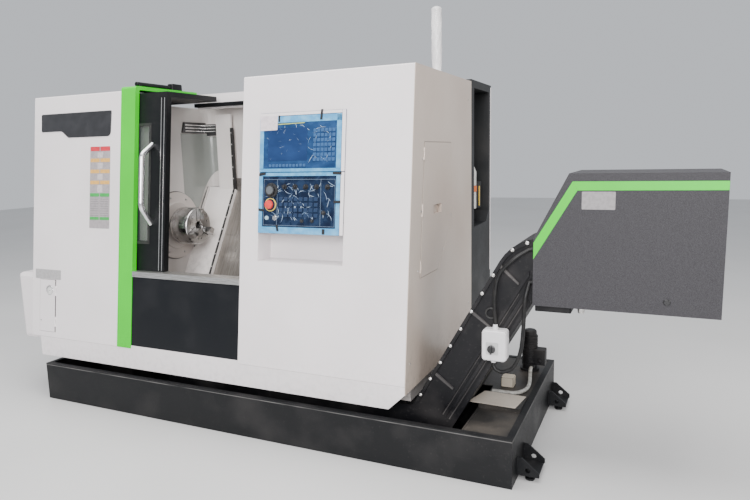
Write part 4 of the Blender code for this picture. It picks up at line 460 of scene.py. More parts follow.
for ink, (colour, rows) in fields.items():
    bars = Shape()
    for first, last in rows:
        high = strip_high - strip_tall * first
        low = strip_high - strip_tall * last
        for left, right, corner in one_column if ink == "foil_pale" else two_columns:
            plate(bars, rounded(left, right, low, high, corner), on_front, foil_thick, ink_top, ink_edge)
    bars.make("field_" + ink, printed(ink, colour), slot="left_front_cover")
rows_pale = Shape()
row_first = 1.135
row_pitch = 0.0125
row_tall = 0.005
row_width = 0.058
row_top = 0.0010
for row in range(9):
    high = row_first - row * row_pitch
    for left in (0.447, 0.521):
        outline = rounded(left, left + row_width, high - row_tall, high, 0.001)
        plate(rows_pale, outline, on_front, foil_thick, row_top, ink_edge)
rows_pale.make("field_rows", printed("foil_rows", (0.27, 0.25, 0.26)), slot="left_front_cover")
bare_plate = plate(Shape(), rounded(0.023, 0.227, 0.670, 0.723, 0.003), on_front, 0, 0.0012, 0.0004)
bare_plate.make("bare_data_plate", printed("plate_grey", (0.42, 0.41, 0.41), 0.3), slot="left_front_cover")


# Pressure gauge behind the service hatch. A chrome bezel round a white dial with a scale of plain
# ticks and a needle, seen through the hatch's round hole.
chrome = Finish("chrome", 0.12, 1.0)
chrome.colour(chrome.mix(chrome.noise(35.0).span(0.4, 0.7), (0.80, 0.80, 0.81), (0.62, 0.62, 0.64)))
chrome.put("Roughness", 0.10 + chrome.noise(25.0, 5.0).span(0.45, 0.8) * 0.16)
outward = np.array((0.0, -1.0, lean)) / math.hypot(1.0, lean)


def front_place(x, z, out):
    """A place on the leaning front, moved out square to it."""
    foot = np.array((machine_left + x, machine_front + lean * max(0.0, z - seam), z))
    return foot + outward * out


gauge_x = 0.136
gauge_z = 0.605
gauge_foot = front_place(gauge_x, gauge_z, -0.0054)
dial_radius = 0.0230
tick_reach = 0.0215
tick_step = 13.5
tick_first = 225
tick_half = 0.0004
bezel_profile = [(0, 0.0270), (0.0030, 0.0275), (0.0042, 0.0262), (0.0042, 0.0236), (0.0022, 0.0232)]
bezel = lathe(Shape(), bezel_profile, gauge_foot, outward, 56)
bezel.make("gauge_bezel", chrome, slot="left_front_cover")
dial_white = printed("dial_white", (0.74, 0.74, 0.72), 0.25)
gauge_dial = lathe(Shape(), [(0, dial_radius), (0.0028, dial_radius)], gauge_foot, outward, 48)
gauge_dial.make("gauge_dial", dial_white, slot="left_front_cover")
mark_black = printed("mark_black", (0.02, 0.02, 0.02), 0.4)
ticks = Shape()
for tick in range(21):
    turn = math.radians(tick_first - tick * tick_step)
    long = 0.0055 if tick % 5 == 0 else 0.0032
    across = np.array((-math.sin(turn), math.cos(turn))) * tick_half
    tip = np.array((math.cos(turn), math.sin(turn)))
    outer = tip * tick_reach
    inner = tip * (tick_reach - long)
    ring = np.array([outer + across, outer - across, inner - across, inner + across]) + (gauge_x, gauge_z)
    plate(ticks, ring, on_front, -0.0027, -0.0024, 0.0001)
needle_turn = math.radians(205)
needle_long = 0.019
needle_tail = 0.005
needle_half = 0.0009
tip = np.array((math.cos(needle_turn), math.sin(needle_turn)))
across = np.array((-tip[1], tip[0])) * needle_half
tail = -tip * needle_tail
needle = np.array([tip * needle_long, tail + across, tail - across]) + (gauge_x, gauge_z)
plate(ticks, needle, on_front, -0.0024, -0.0019, 0.0001)
ticks.make("gauge_marks", mark_black, slot="left_front_cover")


# Screws. Zinc-plated button heads with a hexagon socket, fixed in rows on covers and rails.
zinc = mottled("zinc_screw", (0.62, 0.61, 0.60), (0.34, 0.33, 0.31), 140.0, 400.0, 0.3, metallic=1.0)


def screws(shape, places, axis, radius):
    """Dome heads with a sunk hexagonal socket, all along one axis."""
    for start in places:
        head = [(0, radius), (radius * 0.35, radius * 0.96), (radius * 0.62, radius * 0.62),
                (radius * 0.64, radius * 0.48), (radius * 0.25, radius * 0.46)]
        lathe(shape, head, start, axis, 18)
    return shape


cover_screw = 0.0045
hatch_screws = screws(Shape(), [front_place(0.071, 0.435, 0.0001)], outward, cover_screw)
hatch_screws.make("hatch_latch", zinc, "hatch", "service_hatch")
door_out = 2.3105
door_places = ((0.241, 1.30), (0.220, 1.073), (0.206, 0.835), (0.640, 1.02), (0.520, 0.865))
hinge_heads = screws(Shape(), [at(door_out, y, z) for y, z in door_places], (1, 0, 0), 0.004)
hinge_heads.make("access_door_screws", zinc, "access_door", "side_access_door")


# Green pillar between cover and door. Folded sheet that wraps over the roof edge, bright green.
pillar_green = coated("pillar_green", (0.030, 0.62, 0.008), (0.022, 0.52, 0.006), 0.38, 0.12, 0.1, 0.5)
dress(pillar_green, "green_pillar")


# Sliding door. Black folded frame with two thin bright trims near its closing edge, a laminated
# window and a chrome pull handle bent from flat-oval bar.
door_black = dusty("door_black", (0.004, 0.0045, 0.0055), (0.05, 0.048, 0.047), 0.18, 0.32, 0.12, 0.4)
dress(door_black, "door_frame")
panel_black = dusty("panel_black", (0.004, 0.005, 0.007), (0.040, 0.040, 0.043), 0.18, 0.34, 0.14, 0.3)
dress(panel_black, "lower_front_panel")
trim_steel = Finish("trim_steel", 0.28, 1.0)
brushed = (30.0, 1.0, 0.4)
brush = trim_steel.noise(40.0, 3.0, brushed).span(0.35, 0.7)
trim_steel.colour(trim_steel.mix(brush, (0.80, 0.79, 0.78), (0.55, 0.54, 0.53)))
trim_steel.put("Roughness", 0.24 + trim_steel.noise(30.0, 3.0, brushed).span(0.4, 0.8) * 0.25)
trims = Shape()
trim_width = 0.004
trim_low = 0.754
trim_high = 1.638
for left in (0.9240, 0.9040):
    corners = [(left, trim_low), (left + trim_width, trim_low), (left + trim_width, trim_high),
               (left, trim_high)]
    plate(trims, np.array(corners), on_front, -0.0360, -0.0312, 0.0006)
trims.make("door_trims", trim_steel, "door", "door_frame")
seal = Shape()
seal_corner = 0.006
seal_bars = ((0.318, 0.842, 0.888, 0.902), (0.318, 0.842, 1.498, 1.512), (0.318, 0.332, 0.890, 1.510),
             (0.828, 0.842, 0.890, 1.510))
for bar in seal_bars:
    plate(seal, rounded(*bar, seal_corner), on_front, -0.0320, -0.0295, 0.001)
rubber = mottled("seal_rubber", (0.012, 0.012, 0.012), (0.030, 0.029, 0.028), 50.0, 350.0, 0.62, 0.2, 0.0004)
seal.make("window_seal", rubber, "door", "door_frame")
glass = Finish("door_glass", 0.04, coat=0.5, alpha=0.35)
glass.colour(glass.mix(glass.noise(3.0).span(0.4, 0.7), (0.10, 0.13, 0.12), (0.07, 0.09, 0.09)))
glass.put("Roughness", 0.03 + glass.noise(16.0, 5.0).span(0.5, 0.8) * 0.12)
dress(glass, "door_window")
grip_x = 0.850
grip_radius = 0.0145
grip_bend = 0.022
door_face = -0.0316
grip_out = 0.040
handle_marks = np.array([front_place(grip_x, 1.405, door_face), front_place(grip_x, 1.345, grip_out),
                         front_place(grip_x, 1.080, grip_out), front_place(grip_x, 0.998, door_face)])
handle_way = [handle_marks[0] + (handle_marks[1] - handle_marks[0]) * t for t in np.linspace(0, 0.72, 8)]
for corner in (1, 2):
    reach_in = handle_marks[corner - 1] - handle_marks[corner]
    reach_out = handle_marks[corner + 1] - handle_marks[corner]
    reach_in *= grip_bend / np.linalg.norm(reach_in)
    reach_out *= grip_bend / np.linalg.norm(reach_out)
    for t in np.linspace(0, 1, 12):
        handle_way.append(handle_marks[corner] + reach_in * (1 - t) ** 2 + reach_out * t ** 2)
    if corner == 1:
        first, last = handle_way[-1], handle_marks[2]
        handle_way += [first + (last - first) * t for t in np.linspace(0.05, 0.9, 14)]
handle_way += [handle_way[-1] + (handle_marks[3] - handle_way[-1]) * t for t in np.linspace(0.1, 1.0, 8)]
handle = pipe(Shape(), np.array(handle_way), grip_radius, 24, 0.88)
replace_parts(handle.make("pull_handle", chrome, "door", "door_handle"), "door_handle")


# Sill rail under the door. A scuffed bright steel running rail.
sill_steel = Finish("sill_steel", 0.35, 1.0)
sill_streak = sill_steel.noise(18.0, 4.0, (1.0, 8.0, 30.0))
sill_steel.colour(sill_steel.mix(sill_streak.span(0.4, 0.72), (0.74, 0.73, 0.71), (0.34, 0.33, 0.31)))
sill_steel.put("Roughness", 0.30 + sill_streak.span(0.4, 0.8) * 0.30)
sill_steel.bump(sill_streak, 0.12, 0.0006)
dress(sill_steel, "sill_rail")


# Door guides. A black round bar with two end blocks on the roof, and the black rail that the
# door's top runs in, across the opening.
guide = Shape()
bar_profile = [(0, 0.010), (0.002, 0.012), (0.300, 0.012), (0.302, 0.010)]
lathe(guide, bar_profile, at(0.735, 0.205, 1.7175), (0, 1, 0), 24)
plate(guide, rounded(0.716, 0.754, 0.455, 0.535, 0.006), on_deck, 1.7053, 1.7400, 0.004)
plate(guide, rounded(0.722, 0.748, 0.215, 0.235, 0.004), on_deck, 1.7053, 1.7190, 0.002)
guide.make("door_guide_bar", door_black, slot="green_pillar")


def facing(y):
    """x to the right and z up on an upright face at y, out in front of it."""
    def place(x, z, out):
        return np.stack([machine_left + x, machine_front + y - out, z], axis=-1)
    return place


rail_outline = rounded(0.7593, 1.4422, 1.6172, 1.6382, 0.002)
guide_rail = plate(Shape(), rail_outline, facing(0.6505), 0.0, 0.0312, 0.001)
guide_rail.make("roof_guide_rail", door_black, slot="rear_cover")


# Machining chamber. Pale grey painted sheet, stained by coolant low down, with a slotted work
# lamp in the corner and the big ring flange round the spindle nose.
chamber_grey = Finish("chamber_grey", 0.40, coat=0.1)
stain = chamber_grey.noise(4.5, 6.0, (1.0, 1.0, 0.45))
film = chamber_grey.height().span(1.15, 0.70) * stain.span(0.40, 0.70)
wall_light = (0.74, 0.70, 0.67)
wall_dark = (0.65, 0.61, 0.585)
wall_tone = chamber_grey.mix(chamber_grey.noise(1.6).span(0.35, 0.7), wall_light, wall_dark)
chamber_grey.colour(chamber_grey.mix(film * 0.5, wall_tone, (0.36, 0.32, 0.28)))
chamber_grey.put("Roughness", 0.30 + stain.span(0.3, 0.8) * 0.25)
chamber_grey.bump(chamber_grey.noise(300.0), 0.12, 0.0004)
dress(chamber_grey, "chamber_liner", "chip_chute")
ring_profile = [(0, 0.192), (0.0068, 0.192), (0.0095, 0.1895), (0.0100, 0.1880), (0.0100, 0.137),
                (0.0108, 0.1355), (0.0165, 0.1320), (0.0180, 0.1300), (0.0180, 0.0760), (0.0, 0.0752)]
ring_steps = 128
angle = np.linspace(0, 2 * math.pi, ring_steps, endpoint=False)
profile = np.array(ring_profile)
spindle_y = 0.450
spindle_z = 0.945
hub = np.array(at(0.7156, spindle_y, spindle_z))
ring_rows = np.stack([np.broadcast_to(hub[0] + profile[:, 0:1], (len(profile), ring_steps)),
                      hub[1] + profile[:, 1:2] * np.cos(angle)[None],
                      hub[2] + profile[:, 1:2] * np.sin(angle)[None]], axis=-1)
flange = Shape().grid(np.concatenate([ring_rows, ring_rows[:1]]), caps=False)
ring_grey = coated("ring_grey", (0.66, 0.60, 0.56), (0.58, 0.52, 0.48), 0.36, 0.12, 0.2)
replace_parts(flange.make("ring_flange", ring_grey, slot="spindle_flange"), "spindle_flange")
bolt_circle = 0.165
flange_heads = [at(0.7254, spindle_y + bolt_circle * math.cos(turn),
                   spindle_z + bolt_circle * math.sin(turn))
                for turn in np.radians(np.arange(15, 375, 45))]
screws(Shape(), flange_heads, (1, 0, 0), 0.0065).make("flange_screws", zinc, slot="spindle_flange")
joint_profile = [(0, 0.1955), (0.0010, 0.1955)]
flange_joint = lathe(Shape(), joint_profile, at(0.7151, spindle_y, spindle_z), (1, 0, 0), 96)
flange_joint.make("flange_joint", rubber, slot="chamber_liner")
lamp_dark = printed("lamp_dark", (0.035, 0.035, 0.035), 0.3)
guard_wall = 0.7013
lamp_face = 0.770
lamp_out = 0.014


def on_guard(y, z, out):
    """y to the back and z up on the guard set back in the wall's corner, out into the chamber."""
    return np.stack([machine_left + guard_wall + out, machine_front + y, z], axis=-1)


pane = plate(Shape(), rounded(0.706, 0.792, 1.458, 1.527, 0.004), facing(lamp_face), 0, 0.002, 0.001)
lamp_corners = [(0.560, 1.474), (0.768, 1.474), (0.768, 1.536), (0.578, 1.536)]
plate(pane, eased(lamp_corners, 0.004), on_guard, 0, lamp_out, 0.002)
pane.make("work_lamp_pane", lamp_dark, slot="chamber_liner")
slats = Shape()
slat_first = 1.482
slat_pitch = 0.0175
slat_tall = 0.0050
slat_corner = 0.0015
for slat in range(3):
    low = slat_first + slat * slat_pitch
    plate(slats, rounded(0.712, 0.786, low, low + slat_tall, slat_corner), facing(0.768), 0, 0.003, 0.001)
    plate(slats, rounded(0.580, 0.762, low, low + slat_tall, slat_corner), on_guard, lamp_out, 0.017, 0.001)
slats.make("work_lamp_slats", trim_steel, slot="chamber_liner")
guard_tint = Finish("guard_tint", 0.22, coat=0.4)
guard_tint.colour(guard_tint.mix(guard_tint.noise(3.0, 4.0).span(0.35, 0.7), (0.33, 0.35, 0.325),
                                 (0.25, 0.27, 0.25)))
guard_tint.bump(guard_tint.noise(180.0), 0.05, 0.0003)
guard_radius = 0.0732
guard_hub_x = 0.7745
guard_hub_y = 0.7268
guard_front = 0.5395
guard_low = 0.735
guard_high = 1.470
slope_foot = 0.501


def guard_way(inset):
    """(x, y) along the set-back wall and round its corner, inset from the sheet."""
    turn = np.radians(np.linspace(180, 90, 14))
    radius = guard_radius - inset
    corner = np.stack([guard_hub_x + radius * np.cos(turn), guard_hub_y + radius * np.sin(turn)], axis=-1)
    return np.concatenate([[(corner[0][0], guard_front)], corner])


def guard_row(inset, foot):
    """One edge of the guard: its foot stays clear of the sloping covers, its head is level."""
    way = guard_way(inset)
    slope = guard_low + (way[:, 1] - slope_foot) * math.tan(math.radians(60))
    height = slope if foot else np.full(len(way), guard_high)
    return np.stack([machine_left + way[:, 0], machine_front + way[:, 1], height], axis=-1)


skin_back = 0.0008
skin_front = 0.0026
guard_rows = [guard_row(skin_back, True), guard_row(skin_back, False), guard_row(skin_front, False),
              guard_row(skin_front, True), guard_row(skin_back, True)]
Shape().grid(np.stack(guard_rows), wrap=False).make("wall_guard", guard_tint, slot="chamber_liner")


# Way covers. A raised white band with a screwed black wiper beside it, then grey spring-steel
# plates that slide under it, streaked by chips along the slope.
slope_rise = math.sin(math.radians(60))
slope_run = math.cos(math.radians(60))
slope_foot_z = 0.670


def on_slope(along, out):
    """Y and Z of a point along the slope and out of it."""
    return np.stack([machine_front + slope_foot + along * slope_run - out * slope_rise,
                     slope_foot_z + along * slope_rise + out * slope_run], axis=-1)


band_white = coated("band_white", (0.88, 0.84, 0.82), (0.72, 0.67, 0.63), 0.34, 0.08, 0.2, 0.95)
dress(band_white, "way_cover_fixed")
wiper_low = on_slope(np.array([-0.022, 0.531, 0.531, -0.022]), np.array([-0.005, -0.005, 0.0172, 0.0172]))
wiper_top = 1.500


def band_across(shape, ring, left, right):
    """A bar whose section is a ring in Y and Z, from x left to x right."""
    ends = [np.stack([np.full(len(ring), machine_left + x), ring[:, 0], ring[:, 1]], axis=-1)
            for x in (left, right)]
    return shape.grid(np.stack(ends))


wiper = Shape()
wiper_left = 0.9035
wiper_right = 0.9170
wiper_screw = 0.0042
wiper_screw_x = 0.910
upper = np.array([wiper_low[1] - (0, 0.004), (wiper_low[1][0], wiper_top), (wiper_low[2][0], wiper_top),
                  wiper_low[2] - (0, 0.004)])
for ring in (wiper_low, upper):
    band_across(wiper, ring, wiper_left, wiper_right)
wiper.make("way_wiper", rubber, slot="way_cover_fixed")
wiper_heads = Shape()
for station in np.linspace(0.03, 0.50, 7):
    y, z = on_slope(station, 0.0173)
    screws(wiper_heads, [(machine_left + wiper_screw_x, y, z)], (0, -slope_rise, slope_run), wiper_screw)
for z in np.linspace(1.20, 1.47, 5):
    screws(wiper_heads, [(machine_left + wiper_screw_x, wiper_low[2][0] - 0.0002, z)], (0, -1, 0),
           wiper_screw)
wiper_heads.make("wiper_screws", zinc, slot="way_cover_fixed")
edge_ring = on_slope(np.array([-0.02, 0.55, 0.55, -0.02]), np.array([0.003, 0.003, 0.020, 0.020]))
edge_bar = band_across(Shape(), edge_ring, 0.7125, 0.7165)
edge_bar.make("wall_edge_strip", chamber_grey, slot="chamber_liner")
way_steel = Finish("way_steel", 0.36, 0.75)
scrape = way_steel.noise(9.0, 5.0, (14.0, 1.0, 1.0))
oil = way_steel.noise(3.2, 5.0)
scraped = way_steel.mix(scrape.span(0.4, 0.7), (0.42, 0.39, 0.36), (0.28, 0.26, 0.24))
way_steel.colour(way_steel.mix(oil.span(0.42, 0.72), scraped, (0.17, 0.15, 0.13)))
way_steel.put("Roughness", 0.26 + scrape.span(0.35, 0.8) * 0.22 + oil.span(0.4, 0.8) * 0.14)
way_steel.bump(scrape, 0.10, 0.0006)
dress(way_steel, "way_cover_middle", "way_cover_saddle")
seams = Shape()
seam_width = 0.004
for along in (0.10, 0.24, 0.38, 0.515):
    ring = on_slope(np.array([along, along + seam_width, along + seam_width, along]),
                    np.array([-0.0072, -0.0072, -0.0058, -0.0058]))
    band_across(seams, ring, 0.912, 1.168)
seams.make("cover_seams", way_steel, "middle_cover", "way_cover_middle")


# Chuck. Turned steel body with three radial slots, shown as dark plates of painted shade beside
# each jaw, a bored middle and a ring of socket screws; the jaws are ground blocks with serrated bases.
chuck_steel = Finish("chuck_steel", 0.25, 1.0)
rings = chuck_steel.noise(1.0, 3.0, (420.0, 3.0, 3.0))
smear = chuck_steel.noise(22.0, 5.0)
chuck_steel.colour(chuck_steel.mix(rings.span(0.35, 0.7), (0.62, 0.61, 0.60), (0.36, 0.35, 0.345)))
chuck_steel.put("Roughness", 0.16 + rings.span(0.3, 0.8) * 0.16 + smear.span(0.45, 0.8) * 0.16)
chuck_steel.bump(rings, 0.08, 0.0005)
chuck_face = 0.8803
chuck_out = [(0, 0.099), (0.006, 0.105), (0.030, 0.105), (0.031, 0.1035), (0.036, 0.1035), (0.037, 0.105),
             (0.112, 0.105), (0.118, 0.1015), (0.120, 0.0985), (0.120, 0.040), (0.1195, 0.0390),
             (0.1195, 0.0275), (0.117, 0.026), (0.060, 0.026)]
chuck = lathe(Shape(), chuck_out, at(0.7603, spindle_y, spindle_z), (1, 0, 0), 128)
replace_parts(chuck.make("chuck_shell", chuck_steel, "spindle", "chuck_body"), "chuck_body")
# The slots are not cut: thin dark plates on the face stand in for them as painted shade.
slot_painted_shade = dusty("slot_painted_shade", (0.015, 0.015, 0.015), (0.08, 0.075, 0.07), 0.3, 0.4)
slots = Shape()
sockets = Shape()


def on_chuck(turn):
    """Along a spoke at an angle and across it on the chuck's face, out to the right."""
    def place(along, across, out):
        y = spindle_y + along * math.cos(turn) - across * math.sin(turn)
        z = spindle_z + along * math.sin(turn) + across * math.cos(turn)
        return np.stack([machine_left + chuck_face + out, machine_front + y, z], axis=-1)
    return place


jaw_turns = np.radians([90, 210, 330])
slot_out = 0.0154
slot_half = 0.0022
socket_reach = 0.072
socket_turn = 0.182
socket_profile = [(0, 0.0075), (0.0006, 0.0075), (0.0007, 0.0045), (-0.004, 0.0045)]
for turn in jaw_turns:
    for side in (-1, 1):
        low = side * slot_out - slot_half
        outline = rounded(0.031, 0.0985, low, low + 2 * slot_half, 0.001)
        plate(slots, outline, on_chuck(turn), -0.002, 0.0004, 0.0002)
    for offset in (-socket_turn, socket_turn):
        spoke = turn + math.pi / 3 + offset
        lathe(sockets, socket_profile, on_chuck(spoke)(socket_reach, 0.0, 0.0), (1, 0, 0), 24)
slots.make("chuck_slot_shade", slot_painted_shade, "spindle", "chuck_body")
sockets.make("chuck_sockets", zinc, "spindle", "chuck_body")


def ground(name, light, dark, stretch, spread, depth):
    """Ground steel: fine marks along one way, in colour, roughness and height."""
    made = Finish(name, 0.22, 1.0)
    marks = made.noise(1.0, 3.0, stretch)
    made.colour(made.mix(marks.span(0.35, 0.7), light, dark))
    made.put("Roughness", 0.18 + marks.span(0.3, 0.8) * spread)
    made.bump(marks, depth, 0.0004)
    return made


jaw_steel = ground("jaw_steel", (0.70, 0.69, 0.68), (0.45, 0.44, 0.43), (260.0, 30.0, 30.0), 0.22, 0.08)
dress(jaw_steel, "chuck_jaw_1", "chuck_jaw_2", "chuck_jaw_3")
tooth_first = 0.045
tooth_pitch = 0.0056
tooth_width = 0.0028
tooth_out = 0.0152
tooth_half = 0.0008
bolt_profile = [(0, 0.0068), (0.0008, 0.0066), (0.001, 0.0042), (-0.003, 0.0042)]
for number, turn in enumerate(jaw_turns, 1):
    teeth = Shape()
    for tooth in range(9):
        first = tooth_first + tooth * tooth_pitch
        last = first + tooth_width
        for side in (-1, 1):
            low = side * tooth_out - tooth_half
            high = low + 2 * tooth_half
            corners = np.array([(first, low), (last, low), (last, high), (first, high)])
            plate(teeth, corners, on_chuck(turn), 0.002, 0.028, 0.0006)
    lathe(teeth, bolt_profile, on_chuck(turn)(0.085, 0.0, 0.0302), (1, 0, 0), 20)
    teeth.make("jaw_teeth_%d" % number, jaw_steel, "jaw_%d" % number, "chuck_jaw_%d" % number)


# Machine parts behind the covers. Painted castings, ground spindle and screw, turned pulleys,
# a ribbed rubber belt and the tool turret; none is bright in the photograph.
cast_grey = Finish("cast_grey", 0.55)
grain = cast_grey.noise(160.0, 4.0)
cast_cloud = cast_grey.noise(4.0, 5.0).span(0.35, 0.7)
cast_grey.colour(cast_grey.mix(cast_cloud, (0.27, 0.28, 0.275), (0.19, 0.20, 0.195)))
cast_grey.put("Roughness", 0.48 + grain.span(0.3, 0.8) * 0.2)
cast_grey.bump(grain, 0.4, 0.0010)
dress(cast_grey, "bed_casting", "headstock_casting", "saddle", "cross_slide", "tailstock")
ground_steel = ground("ground_steel", (0.58, 0.57, 0.56), (0.38, 0.37, 0.36), (300.0, 20.0, 20.0), 0.2, 0.06)
dress(ground_steel, "spindle", "ball_screw", "tailstock_quill", "turret_disc", "conveyor_head_shaft")
dress(pump_black, "spindle_motor", "motor_pulley")
dress(rubber, "drive_belt")
belt_steel = dusty("belt_steel", (0.09, 0.085, 0.08), (0.22, 0.19, 0.16), 0.5, 0.4, 0.25, 1.0)
dress(belt_steel, "conveyor_belt")


# Display unit. A deep blue operator display under wrinkled blue film, edged by light blue film,
# with soft keys below the screen, a key block on its right and a taped paper slip.
film_blue = Finish("film_blue", 0.34, coat=0.12, coat_roughness=0.12, shine=0.25)
crease = film_blue.noise(16.0, 5.0, (1.0, 1.0, 1.6))
ripple = film_blue.noise(55.0, 3.0, (1.6, 1.0, 0.7))
film_blue.colour(film_blue.mix(crease.span(0.35, 0.70), (0.008, 0.034, 0.100), (0.020, 0.068, 0.180)))
film_blue.put("Roughness", 0.14 + crease.span(0.3, 0.8) * 0.25)
film_blue.bump(crease * 0.7 + ripple * 0.3, 0.30, 0.003)
dress(film_blue, "display_unit")
keypad_blue = Finish("keypad_blue", 0.34, coat=0.14, coat_roughness=0.12, shine=0.25)
crumple = keypad_blue.noise(22.0, 6.0)
keypad_blue.colour(keypad_blue.mix(crumple.span(0.38, 0.66), (0.003, 0.009, 0.028), (0.011, 0.028, 0.068)))
keypad_blue.put("Roughness", 0.16 + crumple.span(0.3, 0.8) * 0.25)
keypad_blue.bump(crumple, 0.45, 0.003)
dress(keypad_blue, "keypad_unit")
face = 0.0040
film_light = Finish("film_light", 0.32, coat=0.25)
edge_fold = film_light.noise(30.0, 4.0)
film_light.colour(film_light.mix(edge_fold.span(0.4, 0.7), (0.07, 0.30, 0.56), (0.16, 0.45, 0.70)))
film_light.bump(edge_fold, 0.4, 0.002)
bands = Shape()
film_thick = 0.0012
film_bands = ((1.5440, 1.566, 1.266, 1.505), (1.950, 1.974, 1.266, 1.505), (1.5440, 1.974, 1.478, 1.508),
              (1.5440, 1.974, 1.2552, 1.270), (1.5440, 1.974, 1.236, 1.2515), (1.5440, 1.566, 1.000, 1.236),
              (1.954, 1.974, 1.000, 1.236), (1.5440, 1.974, 0.9735, 1.003))
for band in film_bands:
    plate(bands, rounded(*band, 0.002), on_front, face, face + film_thick, 0.0005)
bands.make("film_edges", film_light, slot="display_unit")
edge_white = Shape()
edge_thick = 0.0010
edge_bands = ((1.976, 1.9932, 0.9735, 1.2515), (1.976, 1.9932, 1.2552, 1.5235),
              (1.5440, 1.975, 1.5105, 1.5235))
for band in edge_bands:
    plate(edge_white, rounded(*band, 0.001), on_front, face, face + edge_thick, 0.0004)
edge_white.make("panel_edges", cover_white, slot="right_front_cover")
screen_blue = Finish("screen_blue", 0.30, coat=0.16, coat_roughness=0.10, shine=0.28)
sag = screen_blue.noise(9.0, 4.0, (1.0, 1.0, 2.2))
screen_blue.colour(screen_blue.mix(sag.span(0.35, 0.75), (0.007, 0.028, 0.095), (0.014, 0.046, 0.145)))
screen_blue.bump(sag, 0.25, 0.003)
screen_thick = 0.0015
screen_outline = rounded(1.590, 1.800, 1.305, 1.455, 0.004)
screen = plate(Shape(), screen_outline, on_front, face, face + screen_thick, 0.0006)
screen.make("display_screen", screen_blue, slot="display_unit")
key_blue = printed("key_blue", (0.035, 0.105, 0.25), 0.3)
key_dark = printed("key_dark", (0.012, 0.032, 0.080), 0.3)
key_corner = 0.002
key_edge = 0.0006


def key_block(shape, first, count, pitch, size, rise):
    """Keys in columns and rows: first is the lowest left key's corner."""
    for column in range(count[0]):
        for row in range(count[1]):
            x = first[0] + column * pitch[0]
            z = first[1] + row * pitch[1]
            outline = rounded(x, x + size[0], z, z + size[1], key_corner)
            plate(shape, outline, on_front, face, face + rise, key_edge)
    return shape


keys = key_block(Shape(), (1.598, 1.2780), (11, 1), (0.0182, 0), (0.0125, 0.0120), 0.0024)
key_block(keys, (1.832, 1.302), (6, 7), (0.0192, 0.0215), (0.0145, 0.0150), 0.0024)
keys.make("display_keys", key_blue, slot="display_unit")
pads = key_block(Shape(), (1.658, 1.050), (8, 4), (0.0265, 0.0245), (0.0190, 0.0165), 0.0026)
pads.make("keypad_keys", key_dark, slot="keypad_unit")
frames = Shape()
line_width = 0.0012
line_corner = 0.0005
line_rise = 0.0006
frame_low = 1.0100
frame_high = 1.2200
frame_left = 1.5720
frame_right = 1.9480
for z in (frame_low, frame_high):
    outline = rounded(frame_left, frame_right, z, z + line_width, line_corner)
    plate(frames, outline, on_front, face, face + line_rise, 0.0001)
for x in (frame_left, 1.6460, 1.8760, frame_right):
    outline = rounded(x, x + line_width, frame_low, frame_high, line_corner)
    plate(frames, outline, on_front, face, face + line_rise, 0.0001)
line_pale = printed("line_pale", (0.20, 0.27, 0.36))
frames.make("keypad_lines", line_pale, slot="keypad_unit")
slip_corners = [(1.545, 1.5120), (1.6415, 1.5105), (1.6395, 1.4460), (1.5460, 1.4440)]
slip_low = face + film_thick
slip = plate(Shape(), eased(slip_corners, 0.002), on_front, slip_low, slip_low + film_thick, 0.0004)
slip.make("paper_slip", printed("paper_pale", (0.72, 0.64, 0.68), 0.6), slot="display_unit")
line_corners = [(1.643, 1.4735), (1.785, 1.4760), (1.785, 1.4725), (1.643, 1.4690)]
tape_lines = plate(Shape(), eased(line_corners, 0.001), on_front, face, face + 0.0016, 0.0003)
tape_lines.make("film_edge_line", printed("line_yellow", (0.42, 0.50, 0.16)), slot="display_unit")
tabs = Shape()
for corners in ([(1.868, 1.530), (1.879, 1.530), (1.876, 1.484), (1.864, 1.484)],
                [(1.6445, 1.512), (1.6530, 1.512), (1.6530, 1.482), (1.6445, 1.482)],
                [(1.5450, 1.2500), (1.5820, 1.2545), (1.5820, 1.2420), (1.5450, 1.2360)],
                [(1.9360, 1.2540), (1.9800, 1.2520), (1.9800, 1.2400), (1.9360, 1.2420)],
                [(1.9440, 1.1270), (1.9780, 1.1270), (1.9780, 1.1150), (1.9440, 1.1150)],
                [(1.5445, 1.0880), (1.5760, 1.0820), (1.5760, 1.0720), (1.5445, 1.0760)],
                [(1.6420, 1.0120), (1.6540, 1.0120), (1.6600, 0.9840), (1.6480, 0.9840)],
                [(1.8880, 1.0000), (1.9020, 1.0000), (1.9020, 0.9760), (1.8880, 0.9760)]):
    plate(tabs, eased(corners, 0.002), on_front, face + 0.0008, face + 0.0030, 0.0006)
tabs.make("tape_tabs", printed("tape_black", (0.012, 0.012, 0.014), 0.5), slot="keypad_unit")
# Pale ridges along random creases on both panels: painted highlights where the wrinkled film catches light.
film_crease_highlight = mottled("film_crease_highlight", (0.46, 0.58, 0.72), (0.06, 0.15, 0.32), 60.0, 90.0, 0.30, 0.5, 0.001,
                     coat=0.5)
random = np.random.default_rng(7)
wrinkles = Shape()
crease_count = 110
crease_count_above = 40
crease_radius = 0.0009
crease_tip = 0.00015
for number in range(crease_count):
    low_panel = number >= crease_count_above
    x = random.uniform(1.59, 1.93)
    z = random.uniform(1.03, 1.21) if low_panel else random.uniform(1.31, 1.46)
    heading = random.uniform(0, math.pi)
    long = random.uniform(0.014, 0.050)
    curl = random.uniform(-0.8, 0.8)
    t = np.linspace(-0.5, 0.5, 9)
    xs = x + long * t * math.cos(heading) - long * curl * t ** 2 * math.sin(heading)
    zs = z + long * t * math.sin(heading) + long * curl * t ** 2 * math.cos(heading)
    way = on_front(np.clip(xs, frame_left, frame_right), zs, np.full(9, face + line_rise))
    pipe(wrinkles, way, crease_radius * (1 - (2 * t) ** 2) + crease_tip, 6)
wrinkles.make("film_crease_highlights", film_crease_highlight, slot="keypad_unit")


